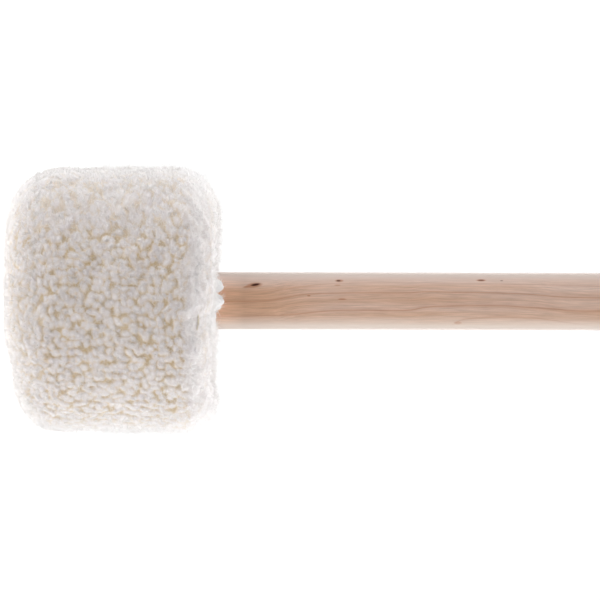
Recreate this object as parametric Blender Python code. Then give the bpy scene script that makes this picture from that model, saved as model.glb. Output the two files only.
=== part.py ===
# A gong mallet, standing on the flat front of its head with its handle up.
# Lengths are in metres. The handle's axis is Z, and the floor that it stands on is z = 0.

import math

import bmesh
import bpy
from mathutils import Matrix, Vector

# The gap between neighbouring pieces
CLEARANCE = 0.0003

# Handle: a straight maple dowel
HANDLE_RADIUS = 0.0111
GRIP_LENGTH = 0.284
BUTT_ROUND = 0.0045
FRONT_CHAMFER = 0.001

# Core: a turned hardwood body with the weight ring on it
CORE_LENGTH = 0.0474
CORE_RADIUS = 0.0294
CORE_FLANGE = 0.0075
CORE_EDGE = 0.001
SCREW_WELL_DEPTH = 0.0075
WEIGHT_WALL = 0.003
WEIGHT_EDGE = 0.0006

# Fasteners between the core and the handle
WASHER_LAP = 0.0036
WASHER_THICKNESS = 0.002
WASHER_EDGE = 0.0003
SCREW_RADIUS = 0.0028
SCREW_THREAD_DEPTH = 0.0007
SCREW_PITCH = 0.0024
SCREW_GRIP = 0.0235
SCREW_POINT = 0.004
SCREW_HEAD_RADIUS = 0.0062
SCREW_HEAD_HEIGHT = 0.0036
SLOT_WIDTH = 0.0014
SLOT_DEPTH = 0.0016
PIN_RADIUS = 0.0025
PIN_CHAMFER = 0.0004
PIN_FROM_REAR = 0.011

# Padding and cover, from the core outwards
FELT_THICKNESS = 0.004
FOAM_THICKNESS = 0.0045
LINER_THICKNESS = 0.0006
FLEECE_THICKNESS = 0.008

# The cover's rounded corners, on its outside, and the felt's chamfered edges under them
FRONT_CORNER = 0.0215
REAR_CORNER = 0.0155
FELT_EDGE = 0.002
FELT_WRAP_EDGE = 0.0005

# The liner's neck on the handle, and the thread that ties it
NECK_LENGTH = 0.0052
TIE_RADIUS = 0.0004
TIE_TURNS = 3
TIE_PITCH = 0.0013

# Seams: how far each lies round its corner from the side, and the parting of the pile
FRONT_SEAM_ANGLE = math.radians(26)
REAR_SEAM_ANGLE = math.radians(33)
SEAM_DEPTH = 0.0045
PILE_SHOULDER = 0.0016
THREAD_RADIUS = 0.00035
STITCH_SWING = 0.0005
STITCH_PITCH = 0.006
DRAWSTRING_RADIUS = 0.0006

# How far the pile rises against the handle, and over what width
COLLAR_RISE = 0.0012
COLLAR_SPREAD = 0.004

# How finely round shapes are drawn
TURNED_STEPS = 32
FLEECE_STEPS = 48
CORNER_STEPS = 6
FOAM_CORNER_STEPS = 3
LINER_CORNER_STEPS = 5
SHOULDER_STEPS = 3
SCREW_STEPS = 12
SCREW_DOME_STEPS = 3
ROWS_PER_THREAD = 4
PIN_STEPS = 16
TIE_POINTS_PER_TURN = 20
DRAWSTRING_POINTS = 40
STITCH_POINTS = 2
SMOOTH_ANGLE = math.radians(40)
SAME_POINT = 0.000001

# Radii, from the axis outwards
BORE_RADIUS = HANDLE_RADIUS + CLEARANCE
WEIGHT_INNER = CORE_RADIUS + CLEARANCE
WEIGHT_OUTER = WEIGHT_INNER + WEIGHT_WALL
FELT_INNER = WEIGHT_OUTER + CLEARANCE
FELT_OUTER = FELT_INNER + FELT_THICKNESS
FOAM_INNER = FELT_OUTER + CLEARANCE
FOAM_OUTER = FOAM_INNER + FOAM_THICKNESS
LINER_OUTER = FOAM_OUTER + CLEARANCE + LINER_THICKNESS
HEAD_RADIUS = LINER_OUTER + CLEARANCE + FLEECE_THICKNESS

# Depths under the fleece's outer surface
LINER_DEPTH = FLEECE_THICKNESS + CLEARANCE
FOAM_DEPTH = LINER_DEPTH + LINER_THICKNESS + CLEARANCE
FELT_DEPTH = FOAM_DEPTH + FOAM_THICKNESS + CLEARANCE
CORE_DEPTH = FELT_DEPTH + FELT_THICKNESS + CLEARANCE

# Heights, from the floor up
HEAD_LENGTH = 2 * CORE_DEPTH + CORE_LENGTH
CORE_FRONT = CORE_DEPTH
CORE_REAR = CORE_FRONT + CORE_LENGTH
WELL_FLOOR = CORE_FRONT + SCREW_WELL_DEPTH
HANDLE_FRONT = WELL_FLOOR + CLEARANCE
HANDLE_BUTT = HEAD_LENGTH + GRIP_LENGTH
WASHER_RADIUS = BORE_RADIUS + WASHER_LAP
WELL_RADIUS = WASHER_RADIUS + CLEARANCE
WASHER_TOP = WELL_FLOOR - CLEARANCE
HEAD_SEAT = WASHER_TOP - WASHER_THICKNESS - CLEARANCE
PIN_HEIGHT = CORE_REAR - PIN_FROM_REAR

# Where the liner is tied and the rear panel is drawn in
NECK_RADIUS = BORE_RADIUS + LINER_THICKNESS
TIE_PATH_RADIUS = NECK_RADIUS + CLEARANCE + TIE_RADIUS
TIE_OUTER = TIE_PATH_RADIUS + TIE_RADIUS
NECK_FOOT = HEAD_LENGTH - LINER_DEPTH
NECK_TOP = NECK_FOOT + NECK_LENGTH
DRAWSTRING_PATH_RADIUS = TIE_OUTER + CLEARANCE + DRAWSTRING_RADIUS
COLLAR_RADIUS = DRAWSTRING_PATH_RADIUS + DRAWSTRING_RADIUS + CLEARANCE
COLLAR_CEILING = NECK_TOP + CLEARANCE
DRAWSTRING_HEIGHT = COLLAR_CEILING - CLEARANCE - DRAWSTRING_RADIUS

# Lengths along the head's surface, from the middle of its front
FRONT_FLAT = HEAD_RADIUS - FRONT_CORNER
REAR_FLAT = HEAD_RADIUS - REAR_CORNER
SIDE_START = FRONT_FLAT + FRONT_CORNER * math.pi / 2
SIDE_END = SIDE_START + HEAD_LENGTH - FRONT_CORNER - REAR_CORNER
REAR_START = SIDE_END + REAR_CORNER * math.pi / 2
FRONT_SEAM_WAY = SIDE_START - FRONT_CORNER * FRONT_SEAM_ANGLE
REAR_SEAM_WAY = SIDE_END + REAR_CORNER * REAR_SEAM_ANGLE

# The groove that parts the pile along a seam
GROOVE_HALF_WIDTH = STITCH_SWING + THREAD_RADIUS + CLEARANCE
THREAD_DEPTH = SEAM_DEPTH - CLEARANCE - THREAD_RADIUS

# How far a cutter reaches past what it cuts
CUTTER_EXTRA = 0.001


def clear_scene():
    for thing in list(bpy.data.objects):
        bpy.data.objects.remove(thing)


def make_material(name, colour, roughness, metallic=0.0):
    material = bpy.data.materials.new(name)
    material.use_nodes = True
    shader = material.node_tree.nodes["Principled BSDF"]
    shader.inputs["Base Color"].default_value = (*colour, 1.0)
    shader.inputs["Roughness"].default_value = roughness
    shader.inputs["Metallic"].default_value = metallic
    material.diffuse_color = (*colour, 1.0)
    return material


def maple():
    return make_material("maple", (0.62, 0.42, 0.29), 0.45)


def core_wood():
    return make_material("core_wood", (0.52, 0.36, 0.21), 0.6)


def weight_steel():
    return make_material("weight_steel", (0.45, 0.45, 0.47), 0.4, 1.0)


def zinc_steel():
    return make_material("zinc_steel", (0.66, 0.67, 0.68), 0.3, 1.0)


def wool_felt():
    return make_material("wool_felt", (0.6, 0.58, 0.54), 0.95)


def pad_foam():
    return make_material("pad_foam", (0.75, 0.72, 0.6), 0.9)


def muslin():
    return make_material("muslin", (0.78, 0.73, 0.62), 0.9)


def wool_fleece():
    return make_material("wool_fleece", (0.86, 0.83, 0.78), 1.0)


def waxed_thread():
    return make_material("waxed_thread", (0.72, 0.66, 0.55), 0.6)


def add_object(name, data, material):
    """Links an object that holds data and shows material."""
    piece = bpy.data.objects.new(name, data)
    bpy.context.scene.collection.objects.link(piece)
    data.materials.append(material)
    return piece


def finish_mesh(name, bm, material):
    """Makes an object of a closed bmesh, smooth but for the edges where it turns sharply."""
    bmesh.ops.recalc_face_normals(bm, faces=bm.faces)
    mesh = bpy.data.meshes.new(name)
    bm.to_mesh(mesh)
    bm.free()
    mesh.shade_smooth()
    mesh.set_sharp_from_angle(angle=SMOOTH_ANGLE)
    return add_object(name, mesh, material)


def turn(name, section, material, steps=TURNED_STEPS, closed=True):
    """Turns a section of (radius, height) points round Z. An open one starts and ends on the axis."""
    bm = bmesh.new()
    verts = [bm.verts.new((radius, 0, height)) for radius, height in section]
    edges = [bm.edges.new(pair) for pair in zip(verts, verts[1:])]
    if closed:
        edges.append(bm.edges.new((verts[-1], verts[0])))
    bmesh.ops.spin(
        bm,
        geom=verts + edges,
        cent=(0, 0, 0),
        axis=(0, 0, 1),
        angle=2 * math.pi,
        steps=steps,
        use_merge=True,
    )
    bmesh.ops.remove_doubles(bm, verts=bm.verts, dist=SAME_POINT)
    return finish_mesh(name, bm, material)


def arc(centre, radius, start, end, steps):
    """Points round a centre from one angle to another, both ends included."""
    angles = [start + (end - start) * i / steps for i in range(steps + 1)]
    return [
        (centre[0] + radius * math.cos(a), centre[1] + radius * math.sin(a))
        for a in angles
    ]


def rounded_ring(inner, outer, bottom, top, edge):
    """The section of a ring whose outer edges are chamfered."""
    return [
        (inner, top),
        (outer - edge, top),
        (outer, top - edge),
        (outer, bottom + edge),
        (outer - edge, bottom),
        (inner, bottom),
    ]


def inside_corner(corner, depth):
    """The corner's radius at a depth under the fleece's outer surface."""
    return max(corner - depth, CORE_EDGE)


def head_outline(depth, bottom, top, steps):
    """The head's rounded outline at a depth under its surface, down from one height to another."""
    radius = HEAD_RADIUS - depth
    front = inside_corner(FRONT_CORNER, depth)
    rear = inside_corner(REAR_CORNER, depth)
    rear_centre = (radius - rear, HEAD_LENGTH - depth - rear)
    front_centre = (radius - front, depth + front)

    def height_to_angle(height, centre, corner):
        share = (height - centre[1]) / corner
        return math.asin(max(-1.0, min(1.0, share)))

    points = []
    if top > rear_centre[1]:
        start = height_to_angle(top, rear_centre, rear)
        end = height_to_angle(max(bottom, rear_centre[1]), rear_centre, rear)
        points += arc(rear_centre, rear, start, end, steps)
    elif top > front_centre[1]:
        points.append((radius, top))
    if bottom < front_centre[1]:
        start = height_to_angle(min(top, front_centre[1]), front_centre, front)
        end = height_to_angle(bottom, front_centre, front)
        points += arc(front_centre, front, start, end, steps)
    elif bottom < rear_centre[1]:
        points.append((radius, bottom))
    return points


def make_handle(pin_hole):
    """The dowel, with its rounded butt, the screw's hole in its front end and the pin's hole."""
    hole = SCREW_RADIUS + SCREW_THREAD_DEPTH + CLEARANCE
    hole_end = HANDLE_FRONT + SCREW_GRIP + CLEARANCE
    butt_centre = (HANDLE_RADIUS - BUTT_ROUND, HANDLE_BUTT - BUTT_ROUND)
    section = [(0, HANDLE_BUTT)]
    section += arc(butt_centre, BUTT_ROUND, math.pi / 2, 0, CORNER_STEPS)
    section += [
        (HANDLE_RADIUS, HANDLE_FRONT + FRONT_CHAMFER),
        (HANDLE_RADIUS - FRONT_CHAMFER, HANDLE_FRONT),
        (hole, HANDLE_FRONT),
        (hole, hole_end - SCREW_POINT),
        (0, hole_end),
    ]
    handle = turn("handle", section, maple(), FLEECE_STEPS, closed=False)
    cut(handle, pin_hole)
    return handle


def make_core(pin_hole):
    """The turned body, with a flange, a seat for the weight ring, a bore and the screw's well."""
    section = [
        (BORE_RADIUS, CORE_REAR),
        (CORE_RADIUS - CORE_EDGE, CORE_REAR),
        (CORE_RADIUS, CORE_REAR - CORE_EDGE),
        (CORE_RADIUS, CORE_FRONT + CORE_FLANGE),
        (WEIGHT_OUTER, CORE_FRONT + CORE_FLANGE),
        (WEIGHT_OUTER, CORE_FRONT + CORE_EDGE),
        (WEIGHT_OUTER - CORE_EDGE, CORE_FRONT),
        (WELL_RADIUS, CORE_FRONT),
        (WELL_RADIUS, WELL_FLOOR),
        (BORE_RADIUS, WELL_FLOOR),
    ]
    core = turn("core", section, core_wood())
    cut(core, pin_hole)
    return core


def make_weight_ring():
    bottom = CORE_FRONT + CORE_FLANGE + CLEARANCE
    section = rounded_ring(WEIGHT_INNER, WEIGHT_OUTER, bottom, CORE_REAR, WEIGHT_EDGE)
    return turn("weight_ring", section, weight_steel())


def make_washer():
    hole = SCREW_RADIUS + SCREW_THREAD_DEPTH + CLEARANCE
    bottom = WASHER_TOP - WASHER_THICKNESS
    section = rounded_ring(hole, WASHER_RADIUS, bottom, WASHER_TOP, WASHER_EDGE)
    return turn("core_washer", section, zinc_steel())


def screw_rows():
    """Rings of the core screw from its domed head to its point, as (radius, height, thread depth)."""
    rows = []
    for i in range(SCREW_DOME_STEPS - 1, -1, -1):
        angle = math.pi / 2 * i / SCREW_DOME_STEPS
        height = HEAD_SEAT - SCREW_HEAD_HEIGHT * math.sin(angle)
        rows.append((SCREW_HEAD_RADIUS * math.cos(angle), height, 0))
    rows += [(SCREW_RADIUS, HEAD_SEAT, 0), (SCREW_RADIUS, HANDLE_FRONT, 0)]
    length = SCREW_GRIP - SCREW_POINT
    count = round(length / SCREW_PITCH * ROWS_PER_THREAD)
    for i in range(1, count):
        rows.append((SCREW_RADIUS, HANDLE_FRONT + length * i / count, SCREW_THREAD_DEPTH))
    rows.append((SCREW_RADIUS, HANDLE_FRONT + length, 0))
    return rows


def make_screw():
    """The screw up the handle's end grain, with a helical thread and a slot across its head."""
    bm = bmesh.new()
    rings = []
    for radius, height, depth in screw_rows():
        ring = []
        for i in range(SCREW_STEPS):
            turn_share = i / SCREW_STEPS
            phase = (height / SCREW_PITCH - turn_share) % 1.0
            reach = radius + depth * (1 - abs(2 * phase - 1))
            angle = 2 * math.pi * turn_share
            ring.append(bm.verts.new((reach * math.cos(angle), reach * math.sin(angle), height)))
        rings.append(ring)
    crown = bm.verts.new((0, 0, HEAD_SEAT - SCREW_HEAD_HEIGHT))
    point = bm.verts.new((0, 0, HANDLE_FRONT + SCREW_GRIP))
    for i in range(SCREW_STEPS):
        after = (i + 1) % SCREW_STEPS
        bm.faces.new((crown, rings[0][i], rings[0][after]))
        bm.faces.new((point, rings[-1][after], rings[-1][i]))
        for low, high in zip(rings, rings[1:]):
            bm.faces.new((low[i], high[i], high[after], low[after]))
    screw = finish_mesh("core_screw", bm, zinc_steel())
    slot = add_cutter("screw_slot")
    slot.data = box_mesh(
        Vector((2 * (SCREW_HEAD_RADIUS + CUTTER_EXTRA), SLOT_WIDTH, 2 * SLOT_DEPTH)),
        Vector((0, 0, HEAD_SEAT - SCREW_HEAD_HEIGHT)),
    )
    cut(screw, slot)
    return screw


def make_cross_pin():
    """The pin across the core and the handle, under the weight ring."""
    bm = bmesh.new()
    bmesh.ops.create_cone(
        bm,
        cap_ends=True,
        segments=PIN_STEPS,
        radius1=PIN_RADIUS,
        radius2=PIN_RADIUS,
        depth=2 * pin_half_length(),
        matrix=across(PIN_HEIGHT),
    )
    rims = [e for e in bm.edges if any(len(f.verts) == PIN_STEPS for f in e.link_faces)]
    bmesh.ops.bevel(bm, geom=rims, offset=PIN_CHAMFER, segments=1, affect="EDGES")
    return finish_mesh("cross_pin", bm, zinc_steel())


def pin_half_length():
    """The pin stops short of the weight ring's curved inside at its own edge."""
    return math.sqrt(WEIGHT_INNER**2 - PIN_RADIUS**2) - CLEARANCE


def across(height):
    """Turns a Z cylinder to lie along X at a height."""
    return Matrix.Translation((0, 0, height)) @ Matrix.Rotation(math.pi / 2, 4, "Y")


def box_mesh(size, centre):
    bm = bmesh.new()
    bmesh.ops.create_cube(bm, size=1)
    bmesh.ops.scale(bm, vec=size, verts=bm.verts)
    bmesh.ops.translate(bm, vec=centre, verts=bm.verts)
    mesh = bpy.data.meshes.new("box")
    bm.to_mesh(mesh)
    bm.free()
    return mesh


def add_cutter(name):
    """An object that only cuts others."""
    cutter = bpy.data.objects.new(name, bpy.data.meshes.new(name))
    bpy.context.scene.collection.objects.link(cutter)
    cutter.hide_render = True
    cutter.display_type = "WIRE"
    return cutter


def make_pin_hole():
    """The cutter for the pin's hole through the core and the handle."""
    hole = add_cutter("pin_hole")
    bm = bmesh.new()
    bmesh.ops.create_cone(
        bm,
        cap_ends=True,
        segments=PIN_STEPS,
        radius1=PIN_RADIUS + CLEARANCE,
        radius2=PIN_RADIUS + CLEARANCE,
        depth=2 * HEAD_RADIUS,
        matrix=across(PIN_HEIGHT),
    )
    bm.to_mesh(hole.data)
    bm.free()
    return hole


def cut(piece, cutter):
    boolean = piece.modifiers.new(cutter.name, "BOOLEAN")
    boolean.operation = "DIFFERENCE"
    boolean.solver = "EXACT"
    boolean.object = cutter


def make_felt():
    """Dense felt round the weighted core and over both of its ends."""
    wrap = rounded_ring(FELT_INNER, FELT_OUTER, CORE_FRONT, CORE_REAR, FELT_WRAP_EDGE)
    turn("felt_wrap", wrap, wool_felt())
    disc_top = CORE_FRONT - CLEARANCE
    disc = [
        (0, disc_top),
        (FELT_OUTER, disc_top),
        (FELT_OUTER, FELT_DEPTH + FELT_EDGE),
        (FELT_OUTER - FELT_EDGE, FELT_DEPTH),
        (0, FELT_DEPTH),
    ]
    turn("front_felt_disc", disc, wool_felt(), closed=False)
    ring_bottom = CORE_REAR + CLEARANCE
    ring_top = HEAD_LENGTH - FELT_DEPTH
    ring = [
        (BORE_RADIUS, ring_top),
        (FELT_OUTER - FELT_EDGE, ring_top),
        (FELT_OUTER, ring_top - FELT_EDGE),
        (FELT_OUTER, ring_bottom),
        (BORE_RADIUS, ring_bottom),
    ]
    turn("rear_felt_ring", ring, wool_felt())


def make_foam():
    """Soft foam over the felt, rounded at both ends as the tight cover rounds it."""
    wrap_bottom = FELT_DEPTH
    wrap_top = HEAD_LENGTH - FELT_DEPTH
    wrap = head_outline(FOAM_DEPTH, wrap_bottom, wrap_top, FOAM_CORNER_STEPS)
    wrap += [(FOAM_INNER, wrap_bottom), (FOAM_INNER, wrap_top)]
    turn("foam_wrap", wrap, pad_foam())
    disc_top = wrap_bottom - CLEARANCE
    disc = [(0, disc_top)]
    disc += head_outline(FOAM_DEPTH, FOAM_DEPTH, disc_top, FOAM_CORNER_STEPS)
    disc += [(0, FOAM_DEPTH)]
    turn("front_foam_disc", disc, pad_foam(), closed=False)
    ring_bottom = wrap_top + CLEARANCE
    ring_top = HEAD_LENGTH - FOAM_DEPTH
    ring = head_outline(FOAM_DEPTH, ring_bottom, ring_top, FOAM_CORNER_STEPS)
    ring = [(BORE_RADIUS, ring_top)] + ring + [(BORE_RADIUS, ring_bottom)]
    turn("rear_foam_ring", ring, pad_foam())


def make_liner():
    """The muslin stocking under the fleece, drawn to a neck on the handle."""
    inner = LINER_DEPTH + LINER_THICKNESS
    outside = [(NECK_RADIUS, NECK_TOP), (NECK_RADIUS, NECK_FOOT)]
    outside += head_outline(LINER_DEPTH, LINER_DEPTH, NECK_FOOT, LINER_CORNER_STEPS)
    outside += [(0, LINER_DEPTH)]
    inside = [(0, inner)]
    inside += reversed(head_outline(inner, inner, HEAD_LENGTH - inner, LINER_CORNER_STEPS))
    inside += [(BORE_RADIUS, HEAD_LENGTH - inner), (BORE_RADIUS, NECK_TOP)]
    section = inside + outside
    turn("muslin_liner", section, muslin(), closed=False)


def head_place(way, depth=0.0):
    """A point of the head's section, a length along its surface from the front and a depth under it."""
    if way < FRONT_FLAT:
        return Vector((way, depth))
    if way < SIDE_START:
        angle = (way - FRONT_FLAT) / FRONT_CORNER - math.pi / 2
        centre = Vector((FRONT_FLAT, FRONT_CORNER))
        return centre + (FRONT_CORNER - depth) * Vector((math.cos(angle), math.sin(angle)))
    if way < SIDE_END:
        return Vector((HEAD_RADIUS - depth, FRONT_CORNER + way - SIDE_START))
    centre = Vector((REAR_FLAT, HEAD_LENGTH - REAR_CORNER))
    if way < REAR_START:
        angle = (way - SIDE_END) / REAR_CORNER
        return centre + (REAR_CORNER - depth) * Vector((math.cos(angle), math.sin(angle)))
    return Vector((centre.x - (way - REAR_START), HEAD_LENGTH - depth))


def bend_ways():
    """The lengths at which the outline needs points, along both of its rounded corners."""
    ways = []
    for start, end in ((FRONT_FLAT, SIDE_START), (SIDE_END, REAR_START)):
        ways += [start + (end - start) * i / CORNER_STEPS for i in range(CORNER_STEPS + 1)]
    return ways


def outline(start, end, depth=0.0):
    """Points of the head's section from one length along its surface to another, at a depth."""
    between = [way for way in bend_ways() if min(start, end) < way < max(start, end)]
    if start > end:
        between.reverse()
    return [head_place(way, depth) for way in (start, *between, end)]


def beside_seam(seam_way, corner, away, depth):
    """The length along the surface that lies a true distance from a seam on a corner, at a depth."""
    return seam_way + away * corner / (corner - depth)


def shoulder():
    """How the pile rounds down into a seam's groove, as half widths with the depth at each."""
    points = []
    for i in range(SHOULDER_STEPS + 1):
        angle = math.pi / 2 * i / SHOULDER_STEPS
        half_width = GROOVE_HALF_WIDTH + PILE_SHOULDER * (1 - math.sin(angle))
        points.append((half_width, PILE_SHOULDER * (1 - math.cos(angle))))
    return points


def groove():
    """The groove's half widths and depths, to its floor and down the gap between two edges."""
    floor = [(GROOVE_HALF_WIDTH, SEAM_DEPTH), (CLEARANCE / 2, SEAM_DEPTH)]
    return shoulder() + floor + [(CLEARANCE / 2, FLEECE_THICKNESS)]


def panel_edge(seam_way, corner, side):
    """A panel's edge at a seam, down to its back. side is -1 in front of the seam, 1 behind it."""
    return [
        head_place(beside_seam(seam_way, corner, side * half_width, depth), depth)
        for half_width, depth in groove()
    ]


def panel_limits(seam_way, corner, side):
    """Where a panel's surface and its back end at a seam, as lengths along the head's surface."""
    half_width, depth = groove()[0]
    surface_end = beside_seam(seam_way, corner, side * half_width, depth)
    half_width, depth = groove()[-1]
    return surface_end, beside_seam(seam_way, corner, side * half_width, depth)


def front_panel_section():
    surface_end, back_start = panel_limits(FRONT_SEAM_WAY, FRONT_CORNER, -1)
    edge = panel_edge(FRONT_SEAM_WAY, FRONT_CORNER, -1)
    back = outline(back_start, 0, FLEECE_THICKNESS)
    return outline(0, surface_end) + edge[1:-1] + back


def side_panel_section():
    front_surface, front_back = panel_limits(FRONT_SEAM_WAY, FRONT_CORNER, 1)
    rear_surface, rear_back = panel_limits(REAR_SEAM_WAY, REAR_CORNER, -1)
    front_edge = panel_edge(FRONT_SEAM_WAY, FRONT_CORNER, 1)
    rear_edge = panel_edge(REAR_SEAM_WAY, REAR_CORNER, -1)
    surface = outline(rear_surface, front_surface)
    back = outline(front_back, rear_back, FLEECE_THICKNESS)
    return surface + front_edge[1:-1] + back + rear_edge[-2:0:-1]


def rear_panel_section():
    """Up the hole, over the pile that rises against the handle, and out to the seam and back."""
    lip_radius = BORE_RADIUS + PILE_SHOULDER
    lip_centre = (lip_radius, HEAD_LENGTH + COLLAR_RISE - PILE_SHOULDER)
    surface_start = REAR_START + REAR_FLAT - lip_radius - COLLAR_SPREAD
    surface_end, back_start = panel_limits(REAR_SEAM_WAY, REAR_CORNER, 1)
    edge = panel_edge(REAR_SEAM_WAY, REAR_CORNER, 1)
    back_end = REAR_START + REAR_FLAT - COLLAR_RADIUS
    hole = [(BORE_RADIUS, COLLAR_CEILING)]
    hole += arc(lip_centre, PILE_SHOULDER, math.pi, math.pi / 2, SHOULDER_STEPS)
    back = outline(back_start, back_end, FLEECE_THICKNESS)
    collar = [(COLLAR_RADIUS, COLLAR_CEILING)]
    return hole + outline(surface_start, surface_end) + edge[1:-1] + back + collar


def make_side_seam_cutter():
    """The cutter for the side seam: a groove down the side panel and the gap between its ends."""
    top = groove()[0][0]
    half = [(top, -CUTTER_EXTRA)] + groove()[:-1] + [(CLEARANCE / 2, FLEECE_THICKNESS + CUTTER_EXTRA)]
    funnel = half + [(-half_width, depth) for half_width, depth in reversed(half)]
    start = REAR_SEAM_WAY + CUTTER_EXTRA
    end = FRONT_SEAM_WAY - CUTTER_EXTRA
    lines = [outline(start, end, depth) for _, depth in funnel]
    bm = bmesh.new()
    rings = []
    for station in zip(*lines):
        rings.append(
            [bm.verts.new((x, place[0], place[1])) for (x, _), place in zip(funnel, station)]
        )
    for low, high in zip(rings, rings[1:]):
        for i in range(len(funnel)):
            after = (i + 1) % len(funnel)
            bm.faces.new((low[i], low[after], high[after], high[i]))
    bm.faces.new(rings[0])
    bm.faces.new(rings[-1])
    bmesh.ops.recalc_face_normals(bm, faces=bm.faces)
    cutter = add_cutter("side_seam_groove")
    bm.to_mesh(cutter.data)
    bm.free()
    return cutter


def make_fleece():
    """Three panels of fleece: a front, a side and a rear drawn in round the handle."""
    turn("fleece_front_panel", front_panel_section(), wool_fleece(), FLEECE_STEPS, closed=False)
    side = turn("fleece_side_panel", side_panel_section(), wool_fleece(), FLEECE_STEPS)
    cut(side, make_side_seam_cutter())
    turn("fleece_rear_panel", rear_panel_section(), wool_fleece(), FLEECE_STEPS)


def make_tube(name, points, radius, material, cyclic=False):
    """A thread of round section through its points, with filled ends."""
    curve = bpy.data.curves.new(name, "CURVE")
    curve.dimensions = "3D"
    curve.bevel_depth = radius
    curve.bevel_resolution = 1
    curve.use_fill_caps = not cyclic
    spline = curve.splines.new("POLY")
    spline.points.add(len(points) - 1)
    for place, point in zip(spline.points, points):
        place.co = (*point, 1)
    spline.use_cyclic_u = cyclic
    return add_object(name, curve, material)


def round_stitches(seam_way, corner):
    """Zigzag stitches all round a seam, in the bottom of its groove."""
    sides = [
        head_place(beside_seam(seam_way, corner, swing, THREAD_DEPTH), THREAD_DEPTH)
        for swing in (-STITCH_SWING, STITCH_SWING)
    ]
    count = 2 * round(math.pi * sides[0].x / STITCH_PITCH)
    points = []
    for i in range(STITCH_POINTS * count):
        place = sides[i // STITCH_POINTS % 2]
        angle = 2 * math.pi * i / (STITCH_POINTS * count)
        points.append((place.x * math.cos(angle), place.x * math.sin(angle), place.y))
    return points


def side_stitches():
    """Zigzag stitches down the side seam, between the two seams that go round."""
    apart = GROOVE_HALF_WIDTH + CLEARANCE + THREAD_RADIUS
    start = beside_seam(FRONT_SEAM_WAY, FRONT_CORNER, apart, THREAD_DEPTH)
    end = beside_seam(REAR_SEAM_WAY, REAR_CORNER, -apart, THREAD_DEPTH)
    count = round((end - start) / STITCH_PITCH * 2) * STITCH_POINTS
    points = []
    for i in range(count + 1):
        place = head_place(start + (end - start) * i / count, THREAD_DEPTH)
        swing = STITCH_SWING if i // STITCH_POINTS % 2 else -STITCH_SWING
        points.append((swing, place.x, place.y))
    return points


def tie_turns():
    """The tie's turns round the liner's neck, as one helix."""
    count = TIE_TURNS * TIE_POINTS_PER_TURN
    start = NECK_FOOT + CLEARANCE + TIE_RADIUS
    points = []
    for i in range(count + 1):
        angle = 2 * math.pi * i / TIE_POINTS_PER_TURN
        height = start + TIE_PITCH * i / TIE_POINTS_PER_TURN
        points.append((TIE_PATH_RADIUS * math.cos(angle), TIE_PATH_RADIUS * math.sin(angle), height))
    return points


def drawstring_loop():
    """The string in the rear panel's hem, drawn tight round the handle."""
    angles = [2 * math.pi * i / DRAWSTRING_POINTS for i in range(DRAWSTRING_POINTS)]
    return [
        (
            DRAWSTRING_PATH_RADIUS * math.cos(a),
            DRAWSTRING_PATH_RADIUS * math.sin(a),
            DRAWSTRING_HEIGHT,
        )
        for a in angles
    ]


def make_threads():
    thread = waxed_thread()
    make_tube("liner_tie", tie_turns(), TIE_RADIUS, thread)
    make_tube("drawstring", drawstring_loop(), DRAWSTRING_RADIUS, thread, cyclic=True)
    front = round_stitches(FRONT_SEAM_WAY, FRONT_CORNER)
    make_tube("front_seam_thread", front, THREAD_RADIUS, thread, cyclic=True)
    rear = round_stitches(REAR_SEAM_WAY, REAR_CORNER)
    make_tube("rear_seam_thread", rear, THREAD_RADIUS, thread, cyclic=True)
    make_tube("side_seam_thread", side_stitches(), THREAD_RADIUS, thread)


def main():
    clear_scene()
    pin_hole = make_pin_hole()
    make_handle(pin_hole)
    make_core(pin_hole)
    make_weight_ring()
    make_washer()
    make_screw()
    make_cross_pin()
    make_felt()
    make_foam()
    make_liner()
    make_fleece()
    make_threads()


main()
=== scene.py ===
import math

import bmesh
import bpy
import numpy as np
from mathutils import Matrix, Vector
from mathutils.kdtree import KDTree


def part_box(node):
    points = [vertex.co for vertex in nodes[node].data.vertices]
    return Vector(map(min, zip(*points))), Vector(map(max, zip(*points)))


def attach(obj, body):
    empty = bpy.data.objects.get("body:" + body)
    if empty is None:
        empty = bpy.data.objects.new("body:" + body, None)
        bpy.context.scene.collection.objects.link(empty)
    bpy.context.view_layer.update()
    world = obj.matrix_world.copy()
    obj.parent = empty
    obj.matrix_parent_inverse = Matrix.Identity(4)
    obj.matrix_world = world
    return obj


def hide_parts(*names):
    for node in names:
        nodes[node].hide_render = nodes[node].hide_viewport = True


# A gong mallet, upright on the flat front of its head. Lengths are in metres, and Z runs up the handle.

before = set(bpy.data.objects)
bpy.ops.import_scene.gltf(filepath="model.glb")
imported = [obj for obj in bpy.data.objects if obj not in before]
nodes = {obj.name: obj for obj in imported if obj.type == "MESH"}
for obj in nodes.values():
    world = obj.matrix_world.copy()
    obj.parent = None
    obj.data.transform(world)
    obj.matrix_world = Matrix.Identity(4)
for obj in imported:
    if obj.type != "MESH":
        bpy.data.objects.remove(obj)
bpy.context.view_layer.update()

# The head's outer surface, which the pile fills up to
head = {
    "radius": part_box("fleece_side_panel")[1].x,
    "length": 0.084,
    "frontCorner": 0.0215,
    "rearCorner": 0.0155,
    "frontSeam": math.radians(26),
    "rearSeam": math.radians(33),
    "thickness": 0.008,
}
head["frontFlat"] = head["radius"] - head["frontCorner"]
head["rearFlat"] = head["radius"] - head["rearCorner"]
head["sideStart"] = head["frontFlat"] + head["frontCorner"] * math.pi / 2
head["sideEnd"] = head["sideStart"] + head["length"] - head["frontCorner"] - head["rearCorner"]
head["rearStart"] = head["sideEnd"] + head["rearCorner"] * math.pi / 2
head["frontSeamWay"] = head["sideStart"] - head["frontCorner"] * head["frontSeam"]
head["rearSeamWay"] = head["sideEnd"] + head["rearCorner"] * head["rearSeam"]


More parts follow.
